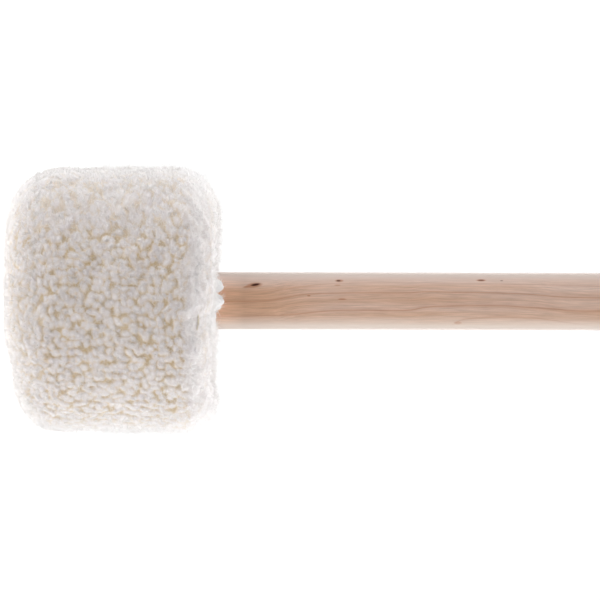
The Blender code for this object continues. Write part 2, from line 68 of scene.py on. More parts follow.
def skin(way, depth):
    # Radius, height and outward direction at a length along the surface from the front's middle
    way = np.asarray(way, float)
    frontTurn = np.clip((way - head["frontFlat"]) / head["frontCorner"], 0, math.pi / 2)
    rearTurn = np.clip((way - head["sideEnd"]) / head["rearCorner"], 0, math.pi / 2)
    angle = frontTurn - math.pi / 2 + rearTurn
    out, up = np.cos(angle), np.sin(angle)
    onFront = np.minimum(way, head["frontFlat"])
    alongSide = np.clip(way - head["sideStart"], 0, head["sideEnd"] - head["sideStart"])
    inRear = np.maximum(way - head["rearStart"], 0)
    isRear = way > head["sideEnd"]
    radius = np.where(
        isRear,
        head["rearFlat"] + head["rearCorner"] * out - inRear,
        onFront + head["frontCorner"] * out * (way > head["frontFlat"]),
    )
    height = np.where(
        isRear,
        head["length"] - head["rearCorner"] + head["rearCorner"] * up,
        head["frontCorner"] + head["frontCorner"] * up + alongSide,
    )
    return radius - depth * out, height - depth * up, out, up


def radiusAt(height, depth):
    # The head's radius at a height, on the surface that lies a depth under the pile
    radius = head["radius"] - depth
    for corner, reach in (
        (head["frontCorner"] - depth, height - depth),
        (head["rearCorner"] - depth, head["length"] - depth - height),
    ):
        corner = max(corner, 0.001)
        if reach < corner:
            reach = max(reach, 0)
            radius -= corner - math.sqrt(max(corner**2 - (corner - reach) ** 2, 0))
    return radius


def smooth(value):
    value = np.clip(value, 0, 1)
    return value * value * (3 - 2 * value)


def settle(points, share=1.0):
    # The soft head isn't quite square: its front edge is rounder on both sides and its rear face leans
    x, y, z = points.T
    low = np.clip(1 - z / 0.034, 0, 1) ** 1.3
    high = smooth((z - 0.05) / 0.03)
    lift = 0.0028 * smooth((x - 0.010) / 0.018) * low + 0.0004 * smooth((-x - 0.012) / 0.020) * low
    drop = 0.0009 + 0.0011 * smooth((x + 0.021) / 0.009) + 0.0020 * smooth((x - 0.001) / 0.006)
    drop = drop - 0.0014 * smooth((x - 0.010) / 0.008)
    drop = drop + 0.0014 * smooth((-x - 0.032) / 0.014)
    # Round the handle the pile still covers the tied neck of the stocking
    drop = np.minimum(drop, 0.0013 + 0.004 * smooth((np.hypot(x, y) - 0.0145) / 0.007))
    moved = points.copy()
    moved[:, 2] += (lift - drop * high) * share
    moved[:, 0] += 0.0010 * smooth((x - 0.035) / 0.01) * low * share
    corner = smooth((x - 0.030) / 0.012) * smooth((z - 0.064) / 0.012) * share
    moved[:, 2] += 0.0020 * corner
    moved[:, 0] += 0.0013 * corner
    moved[:, 0] += np.where(x < 0, -0.0010, 0.0005) * smooth((np.abs(x) - 0.01) / 0.03) * share
    # The pile is pressed flat where it stands on the floor
    press = 0.0008
    flat = moved[:, 2] < press
    moved[flat, 2] = press * np.exp((moved[flat, 2] - press) / press)
    return moved


# Mesh helpers

def meshFrom(name, verts, quads, tris, values=None, maps=None):
    mesh = bpy.data.meshes.new(name)
    mesh.vertices.add(len(verts))
    mesh.vertices.foreach_set("co", np.asarray(verts, np.float32).ravel())
    corners = np.concatenate([quads.ravel(), tris.ravel()]).astype(np.int32)
    mesh.loops.add(len(corners))
    mesh.loops.foreach_set("vertex_index", corners)
    starts = np.concatenate([np.arange(len(quads)) * 4, len(quads) * 4 + np.arange(len(tris)) * 3])
    mesh.polygons.add(len(starts))
    mesh.polygons.foreach_set("loop_start", starts.astype(np.int32))
    mesh.update(calc_edges=True)
    mesh.polygons.foreach_set("use_smooth", np.ones(len(starts), bool))
    for label, numbers in (values or {}).items():
        numbers = np.asarray(numbers, np.float32)
        isVector = numbers.shape[-1:] == (3,)
        layer = mesh.attributes.new(label, "FLOAT_VECTOR" if isVector else "FLOAT", "POINT")
        layer.data.foreach_set("vector" if isVector else "value", numbers.ravel())
    for label, places in (maps or {}).items():
        layer = mesh.uv_layers.new(name=label)
        layer.uv.foreach_set("vector", np.asarray(places, np.float32).ravel())
    return mesh


def addPiece(name, mesh, material, stands=()):
    piece = bpy.data.objects.new(name, mesh)
    bpy.context.scene.collection.objects.link(piece)
    mesh.materials.clear()
    mesh.materials.append(material)
    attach(piece, "root")
    if stands:
        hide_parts(*stands)
    return piece


def turned(name, section, steps, closed=True, ripple=None):
    # Turns (radius, height) points round Z. ripple moves each point by its angle, radius and height
    angles = np.arange(steps) * 2 * math.pi / steps
    rows = np.array(section, float)
    radius = np.repeat(rows[:, 0][:, None], steps, 1)
    height = np.repeat(rows[:, 1][:, None], steps, 1)
    turn = np.repeat(angles[None, :], len(rows), 0)
    if ripple:
        radius, height = ripple(turn, radius, height)
    verts = np.stack([radius * np.cos(turn), radius * np.sin(turn), height], -1).reshape(-1, 3)
    count = len(rows)
    quads, tris = [], []
    last = count if closed else count - 1
    for i in range(last):
        j = (i + 1) % count
        for s in range(steps):
            t = (s + 1) % steps
            quads.append((i * steps + s, i * steps + t, j * steps + t, j * steps + s))
    if not closed:
        # Both ends of an open section lie on the axis, and each is closed by a fan
        extra = np.array([[0, 0, rows[0, 1]], [0, 0, rows[-1, 1]]])
        verts = np.concatenate([verts, extra])
        first, final = len(verts) - 2, len(verts) - 1
        for s in range(steps):
            t = (s + 1) % steps
            tris.append((first, t, s))
            tris.append((final, (count - 1) * steps + s, (count - 1) * steps + t))
    quads = np.array(quads, int).reshape(-1, 4)
    tris = np.array(tris, int).reshape(-1, 3)
    mesh = meshFrom(name, verts, quads, tris)
    fixNormals(mesh)
    return mesh


def fixNormals(mesh):
    bm = bmesh.new()
    bm.from_mesh(mesh)
    bmesh.ops.recalc_face_normals(bm, faces=bm.faces)
    bm.to_mesh(mesh)
    bm.free()


# Node helpers

def newMaterial(name):
    material = bpy.data.materials.new(name)
    material.use_nodes = True
    tree = material.node_tree
    return material, tree, tree.nodes["Principled BSDF"]


def addNode(tree, kind, settings=None, **sockets):
    node = tree.nodes.new(kind)
    for key, value in (settings or {}).items():
        setattr(node, key, value)
    for key, value in sockets.items():
        socket = node.inputs[int(key[1:])] if key[0] == "i" and key[1:].isdigit() else node.inputs[key]
        if isinstance(value, bpy.types.NodeSocket):
            tree.links.new(value, socket)
        else:
            socket.default_value = value
    return node


def ramp(tree, factor, stops):
    node = addNode(tree, "ShaderNodeValToRGB", None, Fac=factor)
    band = node.color_ramp
    while len(band.elements) < len(stops):
        band.elements.new(0.5)
    for element, (place, colour) in zip(band.elements, stops):
        element.position = place
        element.color = (*colour, 1)
    return node.outputs["Color"]


def grey(value):
    return (value, value, value)


def maths(tree, operation, first, second=0.0, third=None):
    sockets = {"i0": first, "i1": second}
    if third is not None:
        sockets["i2"] = third
    return addNode(tree, "ShaderNodeMath", {"operation": operation}, **sockets).outputs[0]


def mixColour(tree, factor, first, second, blend="MIX"):
    node = tree.nodes.new("ShaderNodeMix")
    node.data_type = "RGBA"
    node.blend_type = blend
    for socket, value in ((node.inputs[0], factor), (node.inputs[6], first), (node.inputs[7], second)):
        if isinstance(value, bpy.types.NodeSocket):
            tree.links.new(value, socket)
        else:
            socket.default_value = value if isinstance(value, float) else (*value, 1)
    return node.outputs[2]


def mapRange(tree, value, fromLow, fromHigh, toLow, toHigh):
    node = addNode(tree, "ShaderNodeMapRange", None, Value=value)
    for key, number in (("From Min", fromLow), ("From Max", fromHigh), ("To Min", toLow), ("To Max", toHigh)):
        node.inputs[key].default_value = number
    return node.outputs["Result"]


def newGroup(name, inputs, outputs):
    group = bpy.data.node_groups.new(name, "ShaderNodeTree")
    for label, kind, value in inputs:
        socket = group.interface.new_socket(label, in_out="INPUT", socket_type=kind)
        if value is not None:
            socket.default_value = value
    for label, kind in outputs:
        group.interface.new_socket(label, in_out="OUTPUT", socket_type=kind)
    start = group.nodes.new("NodeGroupInput")
    end = group.nodes.new("NodeGroupOutput")
    return group, start, end


def useGroup(tree, group, **sockets):
    node = tree.nodes.new("ShaderNodeGroup")
    node.node_tree = group
    for key, value in sockets.items():
        if isinstance(value, bpy.types.NodeSocket):
            tree.links.new(value, node.inputs[key])
        else:
            node.inputs[key].default_value = value
    return node


# Effects that several materials share

def makeFibreGroup():
    # Fine fibres: streaks that a stretched vector draws, and soft clumps under them
    group, start, end = newGroup(
        "fibres",
        [("Vector", "NodeSocketVector", None), ("Scale", "NodeSocketFloat", 1.0),
         ("Clump Scale", "NodeSocketFloat", 1.0)],
        [("Streaks", "NodeSocketFloat"), ("Clumps", "NodeSocketFloat")],
    )
    fine = addNode(group, "ShaderNodeTexNoise", None, Vector=start.outputs["Vector"],
                   Scale=start.outputs["Scale"], Detail=4.0, Roughness=0.65)
    soft = addNode(group, "ShaderNodeTexNoise", None, Vector=start.outputs["Vector"],
                   Scale=start.outputs["Clump Scale"], Detail=2.0, Roughness=0.5)
    group.links.new(fine.outputs["Fac"], end.inputs["Streaks"])
    group.links.new(soft.outputs["Fac"], end.inputs["Clumps"])
    return group


def makePatchGroup():
    # Slow patches that tint a colour up and down
    group, start, end = newGroup(
        "patches",
        [("Vector", "NodeSocketVector", None), ("Color", "NodeSocketColor", None),
         ("Dark", "NodeSocketColor", None), ("Scale", "NodeSocketFloat", 40.0),
         ("Amount", "NodeSocketFloat", 0.3)],
        [("Color", "NodeSocketColor"), ("Mask", "NodeSocketFloat")],
    )
    noise = addNode(group, "ShaderNodeTexNoise", None, Vector=start.outputs["Vector"],
                    Scale=start.outputs["Scale"], Detail=3.0)
    mask = mapRange(group, noise.outputs["Fac"], 0.35, 0.7, 0.0, 1.0)
    share = maths(group, "MULTIPLY", mask, start.outputs["Amount"])
    colour = mixColour(group, share, start.outputs["Color"], start.outputs["Dark"])
    group.links.new(colour, end.inputs["Color"])
    group.links.new(mask, end.inputs["Mask"])
    return group


def makeFleckGroup():
    # One dark fleck on the camera's side of the handle: a slim ellipse at a place along it
    group, start, end = newGroup(
        "fleck",
        [("Vector", "NodeSocketVector", None), ("Across", "NodeSocketFloat", 0.0),
         ("Along", "NodeSocketFloat", 0.1), ("Half Width", "NodeSocketFloat", 0.0005),
         ("Half Length", "NodeSocketFloat", 0.002), ("Tilt", "NodeSocketFloat", 0.0)],
        [("Mask", "NodeSocketFloat")],
    )
    parts = addNode(group, "ShaderNodeSeparateXYZ", None, Vector=start.outputs["Vector"])
    along = maths(group, "SUBTRACT", parts.outputs["Z"], start.outputs["Along"])
    skew = maths(group, "MULTIPLY", along, start.outputs["Tilt"])
    across = maths(group, "SUBTRACT", parts.outputs["X"], start.outputs["Across"])
    across = maths(group, "SUBTRACT", across, skew)
    across = maths(group, "DIVIDE", across, start.outputs["Half Width"])
    along = maths(group, "DIVIDE", along, start.outputs["Half Length"])
    reach = maths(group, "ADD", maths(group, "MULTIPLY", across, across), maths(group, "MULTIPLY", along, along))
    mask = mapRange(group, reach, 1.0, 0.25, 0.0, 1.0)
    near = maths(group, "LESS_THAN", parts.outputs["Y"], 0.0)
    group.links.new(maths(group, "MULTIPLY", mask, near), end.inputs["Mask"])
    return group


def makeLineGroup():
    # A growth line: dark in its middle, with a faint shade on both sides
    group, start, end = newGroup(
        "growth_line",
        [("Across", "NodeSocketFloat", 0.0), ("Line", "NodeSocketFloat", 0.0),
         ("Half Width", "NodeSocketFloat", 0.0005)],
        [("Mask", "NodeSocketFloat")],
    )
    apart = maths(group, "ABSOLUTE", maths(group, "SUBTRACT", start.outputs["Across"], start.outputs["Line"]))
    apart = maths(group, "DIVIDE", apart, start.outputs["Half Width"])
    middle = mapRange(group, apart, 1.0, 0.0, 0.0, 1.0)
    shade = mapRange(group, apart, 3.0, 0.0, 0.0, 0.3)
    group.links.new(maths(group, "MAXIMUM", middle, shade), end.inputs["Mask"])
    return group


fibreGroup = makeFibreGroup()
patchGroup = makePatchGroup()
fleckGroup = makeFleckGroup()
lineGroup = makeLineGroup()

# Materials

fleeceLook = {
    # Valley colour, darker and warmer than the crowns: partly the pile's own tan roots, partly painted shade
    "deep": (0.645, 0.505, 0.32),
    "middle": (0.765, 0.67, 0.575),
    "tip": (0.785, 0.738, 0.728),
    # Palest colour: on the highest crowns, and as painted light round the handle's foot and along the seams
    "pale": (0.865, 0.828, 0.822),
    "cool": (0.88, 0.855, 0.88),
    "warm": (0.93, 0.87, 0.81),
    # A painted rim highlight towards the head's outline, and the range of facing over which it comes in
    "paintedRimHighlight": (0.96, 0.94, 0.95),
    "paintedRimFrom": (0.55, 0.95),
    "scatterWeight": 0.8,
    "scatter": 0.0012,
    "sheen": 0.7,
}
fibreLook = {
    # Colour at the fibres' roots, darker and warmer: partly the pile's own tan roots, partly painted shade
    "deep": (0.78, 0.69, 0.58),
    "middle": (0.84, 0.80, 0.755),
    "tip": (0.862, 0.838, 0.832),
    "pale": (0.945, 0.932, 0.93),
    "cool": (0.97, 0.96, 1.0),
    "warm": (1.0, 0.97, 0.94),
    # A painted rim highlight towards the head's outline, and the range of facing over which it comes in
    "paintedRimHighlight": (1.0, 0.985, 0.99),
    "paintedRimFrom": (0.55, 0.95),
    "scatterWeight": 1.0,
    "scatter": 0.002,
    "sheen": 0.2,
}


def fleeceMaterial(name, look):
    material, tree, shader = newMaterial(name)
    lift = addNode(tree, "ShaderNodeAttribute", {"attribute_name": "lift"}).outputs["Fac"]
    tint = addNode(tree, "ShaderNodeAttribute", {"attribute_name": "tint"}).outputs["Fac"]
    place = addNode(tree, "ShaderNodeTexCoord").outputs["Object"]
    strand = addNode(tree, "ShaderNodeUVMap", {"uv_map": "strand"}).outputs["UV"]
    fibres = useGroup(tree, fibreGroup, Vector=strand, Scale=6.0)
    fibres.inputs["Clump Scale"].default_value = 1.6
    streaks = fibres.outputs["Streaks"]
    # The colour runs from the darker, warmer valley colour (partly painted shade in the crevices) up to the pale crowns
    uneven = maths(tree, "MULTIPLY_ADD", fibres.outputs["Clumps"], 0.16, maths(tree, "SUBTRACT", lift, 0.08))
    stops = [(0.0, look["deep"]), (0.5, look["middle"]), (0.87, look["tip"]), (0.95, look["tip"]),
             (1.0, look["pale"])]
    base = ramp(tree, uneven, stops)
    shade = ramp(tree, tint, [(0.0, look["cool"]), (0.5, (1, 1, 1)), (1.0, look["warm"])])
    base = mixColour(tree, 0.55, base, shade, "MULTIPLY")
    patched = useGroup(tree, patchGroup, Vector=place, Color=base, Dark=(0.80, 0.74, 0.66, 1), Scale=70.0, Amount=0.16)
    faint = mapRange(tree, streaks, 0.3, 0.7, 0.93, 1.03)
    dim = addNode(tree, "ShaderNodeCombineColor", None, Red=faint, Green=faint, Blue=faint).outputs["Color"]
    body = mixColour(tree, 1.0, patched.outputs["Color"], dim, "MULTIPLY")
    # Seen along the head's surface, only the pale ends of the pile show, and towards the head's outline the colour goes
    # on to a painted rim highlight, paler than the pile's own colours
    out = addNode(tree, "ShaderNodeAttribute", {"attribute_name": "out"}).outputs["Vector"]
    facing = addNode(tree, "ShaderNodeLayerWeight", None, Blend=0.5, Normal=out).outputs["Facing"]
    share = mapRange(tree, facing, *look["paintedRimFrom"], 0.0, 1.0)
    tree.links.new(mixColour(tree, share, body, look["paintedRimHighlight"]), shader.inputs["Base Color"])
    tree.links.new(mapRange(tree, streaks, 0.2, 0.8, 0.85, 1.0), shader.inputs["Roughness"])
    bump = addNode(tree, "ShaderNodeBump", None, Height=streaks, Strength=0.5, Distance=0.00015)
    tree.links.new(bump.outputs["Normal"], shader.inputs["Normal"])
    shader.inputs["Sheen Weight"].default_value = look["sheen"]
    shader.inputs["Sheen Roughness"].default_value = 0.5
    shader.inputs["Specular IOR Level"].default_value = 0.1
    shader.inputs["Subsurface Weight"].default_value = look["scatterWeight"]
    shader.inputs["Subsurface Radius"].default_value = (1.0, 1.0, 1.0)
    shader.inputs["Subsurface Scale"].default_value = look["scatter"]
    return material


def knitMaterial():
    material, tree, shader = newMaterial("fleece_backing")
    place = addNode(tree, "ShaderNodeTexCoord").outputs["Object"]
    fibres = useGroup(tree, fibreGroup, Vector=place, Scale=1800.0)
    fibres.inputs["Clump Scale"].default_value = 500.0
    colour = ramp(tree, fibres.outputs["Streaks"], [(0.3, (0.36, 0.25, 0.15)), (0.7, (0.60, 0.46, 0.32))])
    tree.links.new(colour, shader.inputs["Base Color"])
    tree.links.new(mapRange(tree, fibres.outputs["Clumps"], 0.2, 0.8, 0.85, 1.0), shader.inputs["Roughness"])
    bump = addNode(tree, "ShaderNodeBump", None, Height=fibres.outputs["Streaks"], Strength=0.6, Distance=0.0003)
    tree.links.new(bump.outputs["Normal"], shader.inputs["Normal"])
    shader.inputs["Specular IOR Level"].default_value = 0.1
    return material


mapleLook = {
    "light": (0.745, 0.57, 0.475),
    "body": (0.63, 0.42, 0.31),
    "warm": (0.66, 0.40, 0.25),
    "line": (0.42, 0.17, 0.08),
    "fleck": (0.045, 0.007, 0.001),
    "paintedRimHighlight": (0.70, 0.585, 0.52),
    "paintedShadeAcross": [(0.0, grey(0.68)), (0.10, (0.90, 0.89, 0.91)), (0.21, (1.0, 1.0, 1.03)), (0.6, (0.97, 0.95, 0.96)),
                 (0.81, (0.90, 0.88, 0.86)), (0.915, (0.94, 0.97, 0.97)), (1.0, grey(0.72))],
    "ringSpacing": 0.0021,
    "pith": (-0.041, 0.012),
    "halfSpan": 0.014,
}
# Growth lines that show on the handle: half width, strength, then (height, offset) along it
growthLines = [
    (0.00040, 0.6, [
        (0.0, 0.0002), (0.0857, 0.0002), (0.0984, 0.0001), (0.1100, -0.0016), (0.1150, -0.0024), (0.1258, -0.0030),
        (0.1397, -0.0032), (0.1552, -0.0032), (0.1633, -0.0037), (0.1717, -0.0035), (0.1826, -0.0034),
        (0.2019, -0.0028), (0.2131, -0.0019), (0.2304, -0.0014), (0.2700, -0.0010), (0.3680, 0.0004)]),
    (0.00044, 0.6, [
        (0.0, 0.0062), (0.0818, 0.0060), (0.1092, 0.0054), (0.1115, 0.0052), (0.1204, 0.0042), (0.1293, 0.0036),
        (0.1552, 0.0035), (0.1617, 0.0024), (0.1691, 0.0019), (0.1841, 0.0016), (0.1911, 0.0016),
        (0.1992, 0.0021), (0.2131, 0.0030), (0.2169, 0.0035), (0.2304, 0.0036), (0.2920, 0.0042), (0.3680, 0.0026)]),
    (0.00032, 0.5, [
        (0.0, 0.0128), (0.1650, 0.0120), (0.1737, 0.0084), (0.1772, 0.0069), (0.1837, 0.0063), (0.1926, 0.0060),
        (0.2046, 0.0065), (0.2158, 0.0079), (0.2239, 0.0090), (0.2460, 0.0115), (0.3680, 0.0128)]),
    (0.00022, 0.5, [
        (0.0, -0.0033), (0.0857, -0.0034), (0.1000, -0.0034), (0.1069, -0.0043), (0.1116, -0.0051),
        (0.1300, -0.0068), (0.1700, -0.0070), (0.2300, -0.0060), (0.3680, -0.0052)]),
]
# Flecks on the camera's side: colour, across, along, half width, half length, tilt, strength
flecks = [
    ("fleck", -0.0062, 0.0967, 0.00056, 0.0021, -0.16, 1.0),
    ("line", -0.0060, 0.0962, 0.00115, 0.0036, -0.12, 0.75),
    ("line", -0.0054, 0.0938, 0.00040, 0.0022, -0.10, 0.8),
    ("fleck", -0.0078, 0.1287, 0.00036, 0.0010, 0.0, 0.8),
    ("line", -0.0078, 0.1290, 0.00060, 0.0019, 0.0, 0.7),
    ("line", -0.0061, 0.1283, 0.00030, 0.0015, 0.0, 0.5),
    ("line", -0.0007, 0.1301, 0.00036, 0.0020, 0.0, 0.7),
    ("line", -0.0020, 0.1173, 0.00030, 0.0008, 0.0, 0.8),
    ("fleck", -0.0081, 0.1836, 0.00034, 0.0015, 0.0, 0.6),
    ("line", -0.0081, 0.1836, 0.00055, 0.0022, 0.0, 0.7),
    ("fleck", -0.0080, 0.1915, 0.00028, 0.0007, 0.0, 0.5),
    ("line", 0.0083, 0.1747, 0.00070, 0.0018, 0.0, 0.4),
]


def lineAt(tree, share, points):
    # The offset of a growth line at each height, from a smooth curve through its points
    curve = addNode(tree, "ShaderNodeFloatCurve", None, Value=share)
    dots = curve.mapping.curves[0].points
    while len(dots) < len(points):
        dots.new(0.5, 0.5)
    top = points[-1][0]
    for dot, (height, offset) in zip(dots, points):
        dot.location = (height / top, 0.5 + offset / mapleLook["halfSpan"] / 2)
    curve.mapping.update()
    centred = maths(tree, "SUBTRACT", curve.outputs[0], 0.5)
    return maths(tree, "MULTIPLY", centred, mapleLook["halfSpan"] * 2)


def mapleMaterial():
    material, tree, shader = newMaterial("maple_dowel")
    place = addNode(tree, "ShaderNodeTexCoord").outputs["Object"]
    parts = addNode(tree, "ShaderNodeSeparateXYZ", None, Vector=place)
    share = maths(tree, "DIVIDE", parts.outputs["Z"], growthLines[0][2][-1][0])
    slow = addNode(tree, "ShaderNodeMapping", None, Vector=place)
    slow.inputs["Scale"].default_value = (1, 1, 0.12)
    drift = addNode(tree, "ShaderNodeTexNoise", None, Vector=slow.outputs[0], Scale=90.0, Detail=2.0)
    wander = mapRange(tree, drift.outputs["Fac"], 0.3, 0.7, -0.0004, 0.0004)
    first = lineAt(tree, share, growthLines[0][2])
    across = maths(tree, "ADD", maths(tree, "SUBTRACT", parts.outputs["X"], first), wander)
    fromPithX = maths(tree, "SUBTRACT", across, mapleLook["pith"][0])
    fromPithY = maths(tree, "SUBTRACT", parts.outputs["Y"], mapleLook["pith"][1])
    square = maths(tree, "ADD", maths(tree, "MULTIPLY", fromPithX, fromPithX),
                   maths(tree, "MULTIPLY", fromPithY, fromPithY))
    years = maths(tree, "DIVIDE", maths(tree, "SQRT", square), mapleLook["ringSpacing"])
    season = maths(tree, "FRACT", years)
    rings = ramp(tree, season, [(0.0, grey(0.0)), (0.6, grey(0.15)), (0.9, grey(0.6)), (1.0, grey(0.0))])
    bent = addNode(tree, "ShaderNodeCombineXYZ", None, X=across, Y=parts.outputs["Y"], Z=parts.outputs["Z"])
    stretched = addNode(tree, "ShaderNodeMapping", None, Vector=bent.outputs[0])
    stretched.inputs["Scale"].default_value = (1, 1, 0.04)
    fibres = useGroup(tree, fibreGroup, Vector=stretched.outputs[0], Scale=2200.0)
    fibres.inputs["Clump Scale"].default_value = 330.0
    body = ramp(tree, fibres.outputs["Clumps"], [(0.3, mapleLook["body"]), (0.7, mapleLook["light"])])
    # Warmer wood near the head, and in patches further up
    near = mapRange(tree, parts.outputs["Z"], 0.100, 0.125, 0.85, 0.0)
    off = maths(tree, "ABSOLUTE", parts.outputs["X"])
    middle = mapRange(tree, off, 0.0060, 0.0025, 0.2, 1.0)
    body = mixColour(tree, maths(tree, "MULTIPLY", near, middle), body, mapleLook["warm"])
    patched = useGroup(tree, patchGroup, Vector=slow.outputs[0], Color=body, Dark=(*mapleLook["warm"], 1), Scale=110.0)
    patched.inputs["Amount"].default_value = 0.4
    body = patched.outputs["Color"]
    fine = mapRange(tree, fibres.outputs["Streaks"], 0.3, 0.75, 1.14, 0.74)
    fineColour = addNode(tree, "ShaderNodeCombineColor", None, Red=fine, Green=fine, Blue=fine).outputs["Color"]
    body = mixColour(tree, 1.0, body, fineColour, "MULTIPLY")
    faint = maths(tree, "MULTIPLY", addNode(tree, "ShaderNodeSeparateColor", None, Color=rings).outputs[0],
                  mapRange(tree, drift.outputs["Fac"], 0.35, 0.65, 0.0, 0.12))
    body = mixColour(tree, faint, body, mapleLook["line"])
    uneven = mapRange(tree, fibres.outputs["Clumps"], 0.3, 0.6, 0.55, 1.0)
    for halfWidth, strength, points in growthLines:
        line = useGroup(tree, lineGroup, Across=parts.outputs["X"], Line=lineAt(tree, share, points))
        line.inputs["Half Width"].default_value = halfWidth
        mark = maths(tree, "MULTIPLY", maths(tree, "MULTIPLY", line.outputs["Mask"], strength), uneven)
        body = mixColour(tree, mark, body, mapleLook["line"])
    # Painted light near the head, most in the middle of its width, where the head's shadow falls on it
    bare = mapRange(tree, parts.outputs["Z"], 0.0835, 0.0925, 0.42, 0.0)
    bare = maths(tree, "MULTIPLY_ADD", bare, mapRange(tree, off, 0.0105, 0.0075, 0.25, 1.0), 1.0)
    # Painted light and shade across the handle as the camera sees it: a little darker along its sides, with lighter and
    # darker bands between
    paintedShadeAcross = ramp(tree, mapRange(tree, parts.outputs["X"], -0.0112, 0.0112, 0.0, 1.0), mapleLook["paintedShadeAcross"])
    paintedLightNearHead = addNode(tree, "ShaderNodeCombineColor", None, Red=bare, Green=bare, Blue=bare).outputs["Color"]
    # Painted reflection: paler towards the handle's outline, as a gloss catching the bright surround
    facing = addNode(tree, "ShaderNodeLayerWeight", None, Blend=0.5).outputs["Facing"]
    body = mixColour(tree, mapRange(tree, facing, 0.12, 0.5, 0.0, 0.9), body, mapleLook["paintedRimHighlight"])
    body = mixColour(tree, 1.0, body, paintedLightNearHead, "MULTIPLY")
    body = mixColour(tree, 1.0, body, paintedShadeAcross, "MULTIPLY")
    for colour in ("line", "fleck"):
        marks = None
        for kind, across0, along0, halfWidth, halfLength, tilt, amount in flecks:
            if kind != colour:
                continue
            fleck = useGroup(tree, fleckGroup, Vector=place, Across=across0, Along=along0, Tilt=tilt)
            fleck.inputs["Half Width"].default_value = halfWidth
            fleck.inputs["Half Length"].default_value = halfLength
            mark = maths(tree, "MULTIPLY", fleck.outputs["Mask"], amount)
            marks = mark if marks is None else maths(tree, "MAXIMUM", marks, mark)
        body = mixColour(tree, marks, body, mapleLook[colour])
    tree.links.new(body, shader.inputs["Base Color"])
    rough = mapRange(tree, fibres.outputs["Streaks"], 0.2, 0.8, 0.46, 0.62)
    tree.links.new(rough, shader.inputs["Roughness"])
    bump = addNode(tree, "ShaderNodeBump", None, Height=fibres.outputs["Streaks"], Strength=0.12, Distance=0.0001)
    tree.links.new(bump.outputs["Normal"], shader.inputs["Normal"])
    shader.inputs["Specular IOR Level"].default_value = 0.25
    shader.inputs["Coat Weight"].default_value = 0.1
    shader.inputs["Coat Roughness"].default_value = 0.35
    return material


def clothMaterial(name, dark, light, fineScale, bumpHeight, roughLow=0.8):
    material, tree, shader = newMaterial(name)
    place = addNode(tree, "ShaderNodeTexCoord").outputs["Object"]
    fibres = useGroup(tree, fibreGroup, Vector=place, Scale=fineScale)
    fibres.inputs["Clump Scale"].default_value = fineScale / 6
    colour = ramp(tree, fibres.outputs["Clumps"], [(0.3, dark), (0.7, light)])
    patched = useGroup(tree, patchGroup, Vector=place, Color=colour, Dark=(*dark, 1), Scale=60.0, Amount=0.4)
    tree.links.new(patched.outputs["Color"], shader.inputs["Base Color"])
    tree.links.new(mapRange(tree, fibres.outputs["Streaks"], 0.2, 0.8, roughLow, 1.0), shader.inputs["Roughness"])
    bump = addNode(tree, "ShaderNodeBump", None, Height=fibres.outputs["Streaks"], Strength=0.5, Distance=bumpHeight)
    tree.links.new(bump.outputs["Normal"], shader.inputs["Normal"])
    return material


def turnedWoodMaterial():
    material, tree, shader = newMaterial("core_hardwood")
    place = addNode(tree, "ShaderNodeTexCoord").outputs["Object"]
    spread = addNode(tree, "ShaderNodeMapping", None, Vector=place)
    spread.inputs["Scale"].default_value = (1, 1, 0.06)
    fibres = useGroup(tree, fibreGroup, Vector=spread.outputs[0], Scale=1500.0)
    fibres.inputs["Clump Scale"].default_value = 200.0
    colour = ramp(tree, fibres.outputs["Clumps"], [(0.3, (0.40, 0.26, 0.14)), (0.7, (0.60, 0.43, 0.27))])
    tree.links.new(colour, shader.inputs["Base Color"])
    tree.links.new(mapRange(tree, fibres.outputs["Streaks"], 0.2, 0.8, 0.45, 0.7), shader.inputs["Roughness"])
    bump = addNode(tree, "ShaderNodeBump", None, Height=fibres.outputs["Streaks"], Strength=0.3, Distance=0.0002)
    tree.links.new(bump.outputs["Normal"], shader.inputs["Normal"])
    return material


def steelMaterial(name, dark, light, roughLow, roughHigh):
    material, tree, shader = newMaterial(name)
    place = addNode(tree, "ShaderNodeTexCoord").outputs["Object"]
    spread = addNode(tree, "ShaderNodeMapping", None, Vector=place)
    spread.inputs["Scale"].default_value = (0.08, 0.08, 1)
    fibres = useGroup(tree, fibreGroup, Vector=spread.outputs[0], Scale=3000.0)
    fibres.inputs["Clump Scale"].default_value = 120.0
    colour = ramp(tree, fibres.outputs["Streaks"], [(0.3, dark), (0.7, light)])
    patched = useGroup(tree, patchGroup, Vector=place, Color=colour, Dark=(*dark, 1), Scale=90.0, Amount=0.5)
    tree.links.new(patched.outputs["Color"], shader.inputs["Base Color"])
    tree.links.new(mapRange(tree, fibres.outputs["Streaks"], 0.2, 0.8, roughLow, roughHigh), shader.inputs["Roughness"])
    shader.inputs["Metallic"].default_value = 1.0
    return material


fleecePile = fleeceMaterial("wool_fleece_tufts", fleeceLook)
fleeceFibres = fleeceMaterial("wool_fleece_fibres", fibreLook)
fleeceBacking = knitMaterial()
mapleWood = mapleMaterial()
feltWool = clothMaterial("pressed_felt", (0.50, 0.48, 0.44), (0.68, 0.66, 0.61), 2200.0, 0.0004)
foamPad = clothMaterial("pad_foam_cells", (0.66, 0.62, 0.48), (0.82, 0.79, 0.66), 1300.0, 0.0006)
muslinCloth = clothMaterial("plain_muslin", (0.70, 0.64, 0.52), (0.84, 0.80, 0.70), 2600.0, 0.0002)
waxedThread = clothMaterial("waxed_linen", (0.62, 0.54, 0.42), (0.80, 0.74, 0.62), 4000.0, 0.0002, 0.45)
coreWood = turnedWoodMaterial()
ringSteel = steelMaterial("turned_steel", (0.34, 0.34, 0.36), (0.56, 0.56, 0.57), 0.3, 0.5)
zincSteel = steelMaterial("zinc_plate", (0.55, 0.56, 0.58), (0.78, 0.79, 0.78), 0.2, 0.4)
print("materials made")

